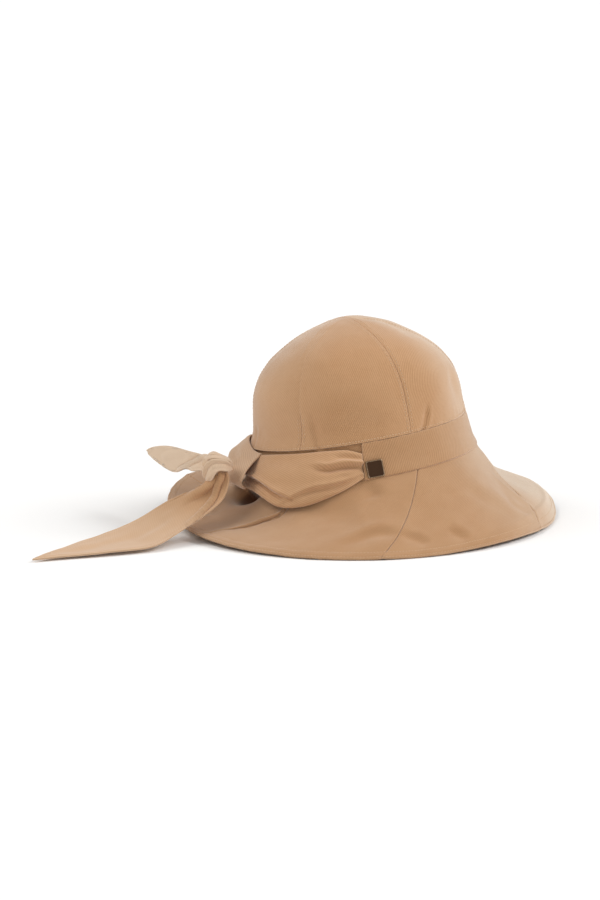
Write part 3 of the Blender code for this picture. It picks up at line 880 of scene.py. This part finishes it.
BRIM_DENTS = (
    (-192, 0.07, 12, 0.15, 24.0),
    (-22, 0.44, 20, 0.24, 5.5),
    (-132, 0.28, 16, 0.14, 0.8),
)
SEAM_BEND = ((0, 0.15, 0.26, 0.36, 0.47, 0.61, 0.77, 1), (0, 1.2, 3.7, 5.0, 1.9, 1.4, -1.5, 0))
TURNING = 6


def brim_grid(index):
    """Rows from the rim to the ring and TURNING more, the seam allowance inside the band."""
    half = 180.0 / PANELS
    inner = -0.085 * np.linspace(0.15, 1.0, TURNING)
    share = np.concatenate([shares(0.064, 0.0012)[::-1], inner])[:, None]
    inset = seam_inset(HEAD_WIDTH / 2 + BRIM_REACH * share, VISUAL_GAP)
    spread = shares(0.125, 0.0017)[None, :] * 2 - 1
    angle = index * 2 * half + (half - inset) * spread
    bend = np.interp(share, *SEAM_BEND) * np.exp(-(((angle - FELLED_SEAM) / 14) ** 2))
    angle = swept(angle, share) + bend
    sunk = dented(angle, share, BRIM_DENTS) * smooth(share, -0.02, 0.06)
    return brim_point(angle, share + 0 * angle), angle, share, sunk


def brim_cloth(index):
    base, angle, share, sunk = brim_grid(index)
    across, up_slope = lengths(base, 1), lengths(base, 0)
    rim, ring = up_slope, up_slope[-1 - TURNING] - up_slope
    seam = np.minimum(across, across[:, -1:] - across)
    inside = smooth(rim, HEM_WIDTH - 0.0006, HEM_WIDTH + 0.0006)
    near_ring = smooth(ring, 0.001, 0.012)
    height = folded(base, brim_point, BRIM_FOLDS) + sunk
    height -= 0.0005 * np.exp(-((ring / 0.0007) ** 2))
    height += near_ring * (0.4 + 0.6 * smooth(rim, 0.0, 0.025)) * 0.0013 * ripple(base, 0.042, 11.3)
    height += near_ring * 0.00035 * ripple(base, 0.013, 5.2)
    height += 0.00025 * (1 - inside)
    height -= 0.00030 * np.exp(-(((rim - HEM_WIDTH) / 0.0005) ** 2))
    height -= 0.00040 * np.exp(-(((rim - 0.0022) / 0.0005) ** 2))
    hem = ripple(np.stack([across, 0 * rim, rim / 4], axis=-1), 0.0048, 2.0 + 5 * index)
    height += 0.00030 * hem * np.exp(-(((rim - 0.0050) / 0.0045) ** 2))
    height += 0.00020 * np.exp(-(((seam - 0.0026) / 0.0020) ** 2)) * inside
    lump = np.exp(-((seam / 0.0042) ** 2) - (rim / 0.0035) ** 2)
    height += 0.0007 * lump
    turned_up = np.exp(-((((angle + 30 + 180) % 360 - 180) / 42) ** 2))
    height += turned_up * 0.0016 * np.exp(-(((rim - HEM_WIDTH - 0.001) / 0.0045) ** 2))
    grid = base + normals(base) * height[..., None]
    wobble = 0.00035 * ripple(base, 0.010, 4.4) * (1 - smooth(rim, 0.002, 0.012))
    out = grid - np.array([0.0, 0.0, RING_LIFT])
    out = out * np.array([1.0, 1.0, 0.0])
    hem = 1 - smooth(rim, 0.004, 0.034)
    lip = 1 - smooth(rim, 0.003, 0.015)
    wobble -= 0.0020 * hem * np.exp(-((((angle + 222 + 180) % 360 - 180) / 24) ** 2))
    grid = grid + out / np.linalg.norm(out, axis=-1, keepdims=True) * wobble[..., None]
    right = np.exp(-((((angle + 38 + 180) % 360 - 180) / 23) ** 2))
    grid += normals(base) * (0.0011 * right * np.exp(-(((rim - 0.0145) / 0.0018) ** 2)))[..., None]
    drop = 0.0062 * right * lip
    drop -= 0.0011 * np.exp(-((((angle + 150 + 180) % 360 - 180) / 28) ** 2)) * hem
    drop -= 0.0038 * np.exp(-((((angle + 246 + 180) % 360 - 180) / 15) ** 2)) * hem
    grid[..., 2] -= drop

    covered = smooth(rim, 0.0034, 0.0044) * (1 - inside)
    edge = np.minimum.reduce([seam + covered * BRIM_WALL, rim, up_slope[-1:] - up_slope])
    flat = (across - across[:, across.shape[1] // 2, None], up_slope)
    # Painted sheen: the far part of the brim, whose top faces up into the light, and the side the light falls on are
    # made paler.
    turned = (angle + 180) % 360 - 180
    begins = -30 - 24 * smooth(share, 0, 0.35) - 8 * share
    far_side = smooth(turned - begins, 0, 32) * (1 - smooth(turned, 5, 110))
    painted_light = np.maximum(0.88 * far_side, painted_sheen(angle, 0.44, 0.10))
    # Painted shade: the cloth is darkened deep in the hollow under the sash, where shadow falls.
    painted_light = painted_light - smooth(-dented(angle, share, BRIM_DENTS), 0.0055, 0.0120)
    name = f"brim_cloth_{index + 1}"
    piece = shell(name, grid, BRIM_WALL, BRIM_TWILL, edge, flat, 0.0006, painted_light)
    dressed(piece, f"brim_panel_{index + 1}")

    normal = normals(grid)
    turned, up = grid.transpose(1, 0, 2), normal.transpose(1, 0, 2)
    keep = np.ones(len(turned), bool)
    rows = []
    for distance in (HEM_WIDTH, 0.0022):
        line = along_rows(turned, rim.T, distance, keep)
        rows.append(stitched(line, along_rows(up, rim.T, distance, keep)))
    sewn = dressed(stitches(f"brim_stitches_{index + 1}", rows, THREAD, 0.00022))


# Band


def band_cloth(name, node, start, end, standoff):
    tucked = 0.001
    below = tucked / BAND_HEIGHT
    rise = (-below + (0.999 + below) * shares(0.030, 0.0014))[:, None]
    width = math.radians(end - start) * HEAD_LENGTH / 2
    angle = (start + (end - start) * shares(width, 0.0018))[None, :]
    base = band_point(angle, rise, standoff)
    across, up_slope = lengths(base, 1), lengths(base, 0)
    low, high = up_slope - tucked, up_slope[-1:] - up_slope
    height = 0.0012 * (1 - smooth(low, 0.0006, 0.010)) * smooth(low, -0.0008, 0.0005)
    height += 0.00035 * ripple(base, 0.020, 8.8) + 0.00015 * ripple(base, 0.007, 1.9)
    height += 0.00025 * np.exp(-(((high - 0.003) / 0.003) ** 2))
    grid = base + normals(base) * height[..., None]
    side = np.minimum(across, across[:, -1:] - across)
    edge = np.minimum.reduce([side + 0.0003, low + tucked, high + 0.0002])
    flat = (across - across[:, across.shape[1] // 2, None], up_slope)
    # Painted sheen on the side the light falls on.
    painted_light = painted_sheen(angle, 0.26, 0.0)
    piece = dressed(shell(name, grid, BAND_WALL, BAND_TWILL, edge, flat, 0, painted_light), node)


# Sash

NEAR_FOLDS = (
    (2.6, 1.9, -0.8, 1.0, 0.0, ((0.0, 0.46), (0.12, 0.385), (0.20, 0.35), (0.27, 0.34), (0.33, 0.29), (0.42, 0.22))),
    (3.6, 1.8, 0.7, 1.0, 0.4, ((1.0, 0.63), (0.86, 0.62), (0.67, 0.67), (0.58, 0.71), (0.51, 0.76))),
    (1.4, 1.6, -0.5, 1.0, 0.3, ((1.0, 0.86), (0.84, 0.84), (0.70, 0.86), (0.60, 0.90))),
    (2.0, 1.8, -0.6, 0.4, 0.3, ((0.04, 0.82), (0.14, 0.78), (0.25, 0.72), (0.35, 0.67), (0.43, 0.71), (0.52, 0.84))),
    (1.2, 2.0, 0.5, 1.0, 0.0, ((0.0, 0.28), (0.08, 0.25), (0.17, 0.19), (0.26, 0.17))),
    (0.9, 2.4, -0.5, 1.0, 0.0, ((0.0, 0.66), (0.08, 0.64), (0.16, 0.60), (0.24, 0.58))),
    (1.0, 6.0, 0.3, 0.0, 0.0, ((0.40, 0.60), (0.52, 0.52), (0.66, 0.50))),
    (0.9, 5.0, 0.3, 0.0, 0.0, ((0.46, 0.20), (0.60, 0.18), (0.80, 0.20))),
)
FAR_FOLDS = (
    (1.4, 3.0, 0.5, 0.0, 0.0, ((0.40, 0.35), (0.62, 0.38), (0.84, 0.45))),
    (1.4, 3.0, -0.5, 0.0, 0.4, ((0.50, 0.62), (0.74, 0.60), (0.95, 0.62))),
    (1.2, 3.2, 0.5, 0.0, 0.0, ((0.55, 0.16), (0.78, 0.20), (0.96, 0.26))),
    (1.2, 2.4, 0.5, 1.0, 0.0, ((0.0, 0.45), (0.10, 0.42), (0.24, 0.38))),
    (1.0, 2.4, -0.5, 1.0, 0.0, ((0.0, 0.72), (0.10, 0.70), (0.22, 0.66))),
)


def sash_cloth(name, node, table, folds, flip, painted_light):
    across = shares(0.050, 0.0010)[:, None]
    along = shares(0.125, 0.0012)[None, :]

    def surface(a, b):
        return sash_point(table, a, b)

    base = surface(along, across)
    if flip:
        base = base[:, ::-1]
    high, low = lengths(base, 0), lengths(base, 0)[-1:] - lengths(base, 0)
    height = folded(base, surface, folds)
    height += 0.0007 * ripple(base, 0.024, 6.6) + 0.00025 * ripple(base, 0.009, 2.4)
    height += 0.0005 * np.exp(-(((high - 0.002) / 0.002) ** 2))
    height += 0.0005 * np.exp(-(((low - 0.002) / 0.002) ** 2))
    side = lengths(base, 1)
    height *= 0.3 + 0.7 * smooth(np.minimum(high, low), 0.0, 0.004)
    grid = base + normals(base) * height[..., None]
    middle = side[:, side.shape[1] // 2, None]
    piece = shell(name, grid, SASH_WALL, SASH_TWILL, None, (side - middle, high), 0, painted_light)
    dressed(piece, node)


# Tails and knot

KNOT_FACING = 240.0


def from_knot(rows):
    """Points given across, up and out from the knot's middle in millimetres, seen from the
    side that KNOT_FACING turns to, as points in the hat's own axes."""
    out = outward(KNOT_FACING)
    aside = np.cross([0.0, 0.0, 1.0], out)
    rows = np.asarray(rows, float) / 1000
    up = np.array([0.0, 0.0, 1.0])
    return KNOT_MIDDLE + rows[..., :1] * aside + rows[..., 1:2] * up + rows[..., 2:] * out


def ribbon(rows, along, across):
    """Cloth between two edges: each row has the far edge's three values, the near edge's
    three, in millimetres from the knot, and the arch between them in millimetres."""
    rows = np.asarray(rows, float)
    along, across = np.broadcast_arrays(np.asarray(along, float), np.asarray(across, float))
    values = [down_the_table(rows[:, k], along) for k in range(7)]
    far = from_knot(np.stack(values[0:3], axis=-1))
    near = from_knot(np.stack(values[3:6], axis=-1))
    way = np.gradient(far + near, axis=0)
    normal = np.cross(near - far, way)
    normal /= np.maximum(np.linalg.norm(normal, axis=-1, keepdims=True), 1e-12)
    arch = np.sin(np.pi * across) * values[6] / 1000
    return far + (near - far) * across[..., None] + normal * arch[..., None]


LONG_ROWS = (
    (-3.0, -6.5, 4.0, 10.0, -3.0, 5.0, 1.0),
    (-8.5, -11.5, 5.5, 12.0, -9.0, 9.5, 2.6),
    (-16.5, -17.0, 5.0, 8.5, -21.0, 15.5, 3.0),
    (-25.5, -20.3, 5.5, -1.0, -30.3, 22.0, 2.6),
    (-41.4, -28.7, 7.1, -20.4, -42.2, 31.0, 1.5),
    (-58.2, -38.4, 13.0, -31.6, -47.6, 41.0, 1.5),
    (-77.2, -45.5, 25.1, -48.0, -52.4, 57.1, 1.5),
    (-102.8, -49.9, 48.1, -80.3, -53.1, 70.9, 1.2),
    (-118.4, -51.7, 65.5, -113.7, -54.0, 81.7, 0.8),
    (-135.2, -52.8, 86.5, -136.8, -54.2, 90.2, 0.0),
)
SHORT_ROWS = (
    (-3.0, 7.5, -3.0, -6.0, -3.0, 2.0, 0.8),
    (-8.0, 8.0, -8.3, -10.2, -4.2, -3.0, 1.0),
    (-21.6, 7.6, -27.0, -17.2, -6.8, -13.0, 2.0),
    (-38.9, 6.0, -55.0, -24.0, -8.0, -27.0, 2.0),
    (-52.1, 1.2, -75.0, -35.4, -14.0, -47.0, 1.2),
    (-58.3, -3.0, -83.0, -54.9, -7.6, -79.1, 0.0),
)
LONG_FOLDS = (
    (2.6, 2.4, 0.9, 1.0, 0.0, ((0.03, 0.30), (0.09, 0.22), (0.16, 0.14), (0.24, 0.13), (0.33, 0.17), (0.44, 0.16))),
    (-1.2, 2.0, 0.0, 0.6, 0.0, ((0.05, 0.42), (0.15, 0.42), (0.24, 0.34), (0.34, 0.35), (0.46, 0.46))),
    (2.6, 1.1, -0.9, 1.0, 0.4, ((0.02, 0.71), (0.10, 0.66), (0.16, 0.64), (0.26, 0.76), (0.36, 0.87), (0.43, 0.97))),
    (0.9, 4.0, 0.4, 0.0, 0.0, ((0.42, 0.55), (0.55, 0.62), (0.68, 0.60))),
    (0.7, 4.0, -0.4, 0.0, 0.0, ((0.60, 0.30), (0.75, 0.36), (0.88, 0.40))),
    (0.8, 3.5, 0.4, 0.0, 0.0, ((0.30, 0.30), (0.42, 0.36), (0.52, 0.34))),
)
SHORT_FOLDS = (
    (1.3, 1.1, 1.3, 1.0, 0.3, ((0.10, 0.02), (0.20, 0.09), (0.29, 0.28), (0.39, 0.52), (0.54, 0.80), (0.72, 0.95))),
    (0.9, 3.0, 0.4, 0.0, 0.0, ((0.45, 0.20), (0.62, 0.30), (0.80, 0.40))),
    (0.7, 2.0, 0.4, 0.0, 0.0, ((0.22, 0.62), (0.34, 0.74), (0.46, 0.90))),
)


def tail_cloth(name, node, rows, folds, length, width, painted_light, shade):
    along = shares(length, 0.0010)[:, None]
    across = shares(width, 0.0009)[None, :]

    def surface(a, b):
        return ribbon(rows, a, b)

    base = surface(along, across)
    over, down = lengths(base, 1), lengths(base, 0)
    side = np.minimum(over, over[:, -1:] - over)
    height = folded(base, surface, folds)
    height += 0.0006 * ripple(base, 0.020, 12.6) + 0.0002 * ripple(base, 0.008, 3.4)
    height += 0.00030 * np.exp(-(((side - 0.0018) / 0.0014) ** 2))
    height -= 0.00025 * np.exp(-(((side - 0.0036) / 0.0006) ** 2))
    height *= smooth(side, -0.002, 0.003)
    grid = base + normals(base) * height[..., None]
    flat = (over - over[:, over.shape[1] // 2, None], down)
    # Painted sheen, taken away near the knot, where the tail lies in shade.
    painted_light = painted_light * (1 - shade * (1 - smooth(down, 0.015, 0.070)))
    piece = dressed(shell(name, grid, SASH_WALL, TAIL_TWILL, None, flat, 0.0004, painted_light), node)


WRAP_ROWS = (
    (13.4, 2.8, 1.0, 12.6, -2.8, 1.0, 0.5),
    (12.0, 5.2, 6.6, 11.2, -2.4, 7.0, 1.6),
    (9.0, 7.8, 11.0, 8.4, -1.6, 12.0, 2.0),
    (3.8, 9.0, 12.4, 4.0, -0.8, 14.4, 2.0),
    (-1.8, 9.0, 12.4, 1.2, -2.6, 15.4, 2.0),
    (-6.2, 6.0, 11.0, -0.2, -5.2, 14.8, 2.0),
    (-9.0, 1.4, 9.0, -1.0, -7.4, 13.0, 2.0),
    (-9.8, -3.4, 6.6, -2.0, -9.2, 10.0, 1.6),
    (-9.0, -7.4, 3.6, -3.0, -10.2, 6.0, 1.0),
    (-6.8, -9.4, 0.0, -3.2, -10.4, 2.0, 0.2),
)
TOP_ROWS = (
    (-9.5, 6.0, -6.0, -7.6, 5.6, 4.0, 0.5),
    (-6.6, 8.6, -3.0, -4.6, 7.4, 7.0, 1.0),
    (-1.8, 9.8, -2.0, -0.6, 8.8, 8.8, 1.0),
    (2.4, 9.0, -1.6, 3.6, 8.4, 9.0, 1.0),
    (7.0, 7.4, -1.6, 8.0, 7.4, 7.6, 1.0),
    (11.4, 5.8, -2.0, 12.0, 5.4, 5.0, 0.8),
    (14.0, 3.4, -3.0, 14.2, 2.8, 2.0, 0.3),
)
CREST_ROWS = (
    (-5.0, 8.6, -5.0, -6.2, 9.4, 1.0, 0.5),
    (-3.6, 10.6, -4.6, -3.4, 10.4, 3.6, 0.8),
    (-0.6, 11.4, -4.4, -0.6, 10.9, 4.2, 0.8),
    (3.0, 10.0, -4.4, 2.8, 9.8, 3.8, 0.8),
    (8.0, 8.0, -4.2, 7.6, 8.0, 3.0, 0.6),
    (12.4, 5.8, -4.0, 12.0, 6.0, 1.4, 0.3),
)
KNOT_FOLDS = (
    (1.0, 1.6, 0.6, 0.2, 0.6, ((0.10, 0.60), (0.35, 0.52), (0.60, 0.50), (0.90, 0.55))),
    (0.6, 1.2, -0.5, 0.0, 0.6, ((0.40, 0.82), (0.65, 0.78), (0.95, 0.70))),
)


def knot_strip(name, rows, folds, length, width):
    along = shares(length, 0.0006)[:, None]
    across = shares(width, 0.0006)[None, :]

    def surface(a, b):
        return ribbon(rows, a, b)

    base = surface(along, across)
    height = folded(base, surface, folds) if folds else 0 * base[..., 0]
    height += 0.00025 * ripple(base, 0.006, 5.5)
    grid = base + normals(base) * height[..., None]
    # Painted sheen on the knot's strips.
    piece = dressed(shell(name, grid, 0.0016, TAIL_TWILL, painted_light=0.62))
    return piece


def knot_core():
    """The rolled cloth inside the knot, with deep creases between its turns."""
    turn = np.linspace(0, 360, 121)[:-1]
    rise = np.linspace(-0.985, 0.985, 61)
    around, up = np.meshgrid(turn, rise)
    grid = knot_point(around, up)
    inward = KNOT_MIDDLE - grid
    push = 0.16 + 0.05 * ripple(grid, 0.006, 9.9)
    push += 0.07 * np.abs(np.sin(np.radians(around) * 1.5 + 4 * up)) ** 8
    grid = grid + inward * push[..., None]
    rows, columns = grid.shape[:2]
    points = np.concatenate([grid.reshape(-1, 3), grid[:1].mean(axis=1), grid[-1:].mean(axis=1)])
    cloth = np.stack([np.radians(around) * 0.010, up * 0.014, 0 * up + 0.01], axis=-1)
    cloth = np.concatenate([cloth.reshape(-1, 3), [[0, -0.014, 0.01]], [[0, 0.014, 0.01]]])
    faces = []
    for c in range(columns):
        n = (c + 1) % columns
        for r in range(rows - 1):
            faces.append([r * columns + c, r * columns + n, (r + 1) * columns + n, (r + 1) * columns + c])
        faces.append([n, c, rows * columns])
        faces.append([(rows - 1) * columns + c, (rows - 1) * columns + n, rows * columns + 1])
    # Painted sheen on the knot's core.
    painted_light = np.full(len(points), 0.45)
    piece = dressed(new_piece("knot_core", points, faces, cloth, TAIL_TWILL, painted_light), "knot")


# Badge


def badge_plate():
    """A plain plate with round corners and soft edges, and a face set back in a frame."""
    outline = ((0.0, 1.0), (0.5, 1.0), (0.85, 0.99), (1.0, 0.965), (1.0, 0.90), (0.93, 0.875), (0.60, 0.86), (0.50, 0.845), (0.47, 0.80), (0.47, 0.4), (0.47, 0.02))
    sides = 64
    turn = np.linspace(0, 2 * np.pi, sides, endpoint=False) + np.pi / sides
    power = 0.16
    round_x = np.sign(np.cos(turn)) * np.abs(np.cos(turn)) ** power
    round_y = np.sign(np.sin(turn)) * np.abs(np.sin(turn)) ** power
    rings, raised = [], []
    for level, reach in outline:
        rings.append(
            np.stack(
                [
                    BADGE_WIDTH / 2 * reach * round_x,
                    BADGE_HEIGHT / 2 * reach * round_y,
                    SEAT_GAP + BADGE_DEPTH * level + 0 * turn,
                ],
                axis=-1,
            )
        )
        raised.append(smooth(level, 0.55, 1.0))
    local = np.concatenate(rings)
    middle = band_point(BADGE_ANGLE, BADGE_RISE)
    side = band_point(BADGE_ANGLE + 1, BADGE_RISE) - band_point(BADGE_ANGLE - 1, BADGE_RISE)
    side /= np.linalg.norm(side)
    up = band_point(BADGE_ANGLE, BADGE_RISE + 0.1) - middle
    up = up - side * (up @ side)
    up /= np.linalg.norm(up)
    axes = np.stack([side, up, np.cross(side, up)])
    points = middle + local @ axes
    cloth = np.concatenate([local[:, :2], np.repeat(raised, sides)[:, None]], axis=1)
    faces = []
    for r in range(len(outline) - 1):
        for k in range(sides):
            n = (k + 1) % sides
            a, b = r * sides, (r + 1) * sides
            faces.append([a + k, a + n, b + n, b + k])
    faces.append([k for k in range(sides)][::-1])
    faces.append([(len(outline) - 1) * sides + k for k in range(sides)])
    piece = new_piece("badge_plate", points, faces, cloth, antique_brass())
    dressed(piece, "badge", finish="aged_brass")


for panel in range(PANELS):
    crown_cloth(panel)
    brim_cloth(panel)
band_cloth("band_front_cloth", "band_front", -SASH_ANGLE, SASH_ANGLE, 0.0)
back_start = SASH_ANGLE - 2.5
band_cloth("band_back_cloth", "band_back", back_start, 360 - back_start, -(SASH_WALL + SEAM_GAP))
# The last number is painted sheen, stronger on the far half, which faces up into the light.
sash_cloth("sash_near_cloth", "sash_near", NEAR_SASH, NEAR_FOLDS, False, 0.05)
sash_cloth("sash_far_cloth", "sash_far", FAR_SASH, FAR_FOLDS, True, 0.36)
knot_core()
knot_strip("knot_wrap", WRAP_ROWS, KNOT_FOLDS, 0.045, 0.014)
crest = knot_strip("knot_crest", CREST_ROWS, (), 0.022, 0.009)
knot_strip("knot_top", TOP_ROWS, (), 0.026, 0.011)
# The last two numbers are the painted sheen and how much of it the shade near the knot takes away.
tail_cloth("tail_long_cloth", "tail_long", LONG_ROWS, LONG_FOLDS, 0.190, 0.026, 0.30, 0.9)
tail_cloth("tail_short_cloth", "tail_short", SHORT_ROWS, SHORT_FOLDS, 0.100, 0.020, 0.70, 0.0)
badge_plate()


# Floor, light and camera

FLOOR_SIZE = 60.0
VIEW_ANGLE = -30.0
VIEW_RISE = 11.5
VIEW_DISTANCE = 2.2
VIEW_ASIDE = 0.04889
VIEW_LOWER = 0.00937
LENS = 108.0
SENSOR = 36.0


def floor():
    bpy.ops.mesh.primitive_plane_add(size=FLOOR_SIZE, location=(0, 0, 0))
    ground = bpy.context.object
    ground.name = "floor"
    paper = bpy.data.materials.new("floor_paper")
    paper.use_nodes = True
    shader = paper.node_tree.nodes["Principled BSDF"]
    shader.inputs["Base Color"].default_value = (0.96, 0.96, 0.96, 1.0)
    shader.inputs["Roughness"].default_value = 0.95
    shader.inputs["Specular IOR Level"].default_value = 0.1
    ground.data.materials.append(paper)


def sun(name, angle, rise, strength, size, colour=(1.0, 1.0, 1.0)):
    """A soft distant light from an angle round the hat and a rise over the floor."""
    lamp = bpy.data.lights.new(name, "SUN")
    lamp.energy, lamp.angle, lamp.color = strength, math.radians(size), colour
    made = bpy.data.objects.new(name, lamp)
    turn, lift = math.radians(angle), math.radians(rise)
    back = Vector(
        (math.cos(turn) * math.cos(lift), math.sin(turn) * math.cos(lift), math.sin(lift))
    )
    made.rotation_euler = back.to_track_quat("Z", "Y").to_euler()
    bpy.context.scene.collection.objects.link(made)


def studio():
    world = bpy.data.worlds.new("studio")
    bpy.context.scene.world = world
    world.use_nodes = True
    background = world.node_tree.nodes["Background"]
    background.inputs["Color"].default_value = (1.0, 1.0, 1.0, 1.0)
    background.inputs["Strength"].default_value = 0.45
    sun("key", -30.0, 38.0, 1.85, 35.0)
    sun("left", 152.0, 50.0, 1.17, 40.0, (1.0, 0.98, 0.94))
    sun("front", 235.0, 22.0, 0.16, 60.0)
    bpy.context.scene.view_settings.view_transform = "Standard"


def camera():
    turn, rise = math.radians(VIEW_ANGLE), math.radians(VIEW_RISE)
    back = Vector(
        (math.sin(turn) * math.cos(rise), -math.cos(turn) * math.cos(rise), math.sin(rise))
    )
    right = (-back).cross(Vector((0, 0, 1))).normalized()
    up = right.cross(-back)
    lens = bpy.data.cameras.new("camera")
    lens.sensor_fit, lens.sensor_height, lens.lens = "VERTICAL", SENSOR, LENS
    lens.clip_start, lens.clip_end = 0.05, 200.0
    made = bpy.data.objects.new("camera", lens)
    ring = Vector(SHIFT) + Vector((0, 0, RING_LIFT))
    made.location = ring + back * VIEW_DISTANCE - right * VIEW_ASIDE + up * VIEW_LOWER
    made.rotation_euler = back.to_track_quat("Z", "Y").to_euler()
    bpy.context.scene.collection.objects.link(made)
    bpy.context.scene.camera = made


floor()
studio()
camera()
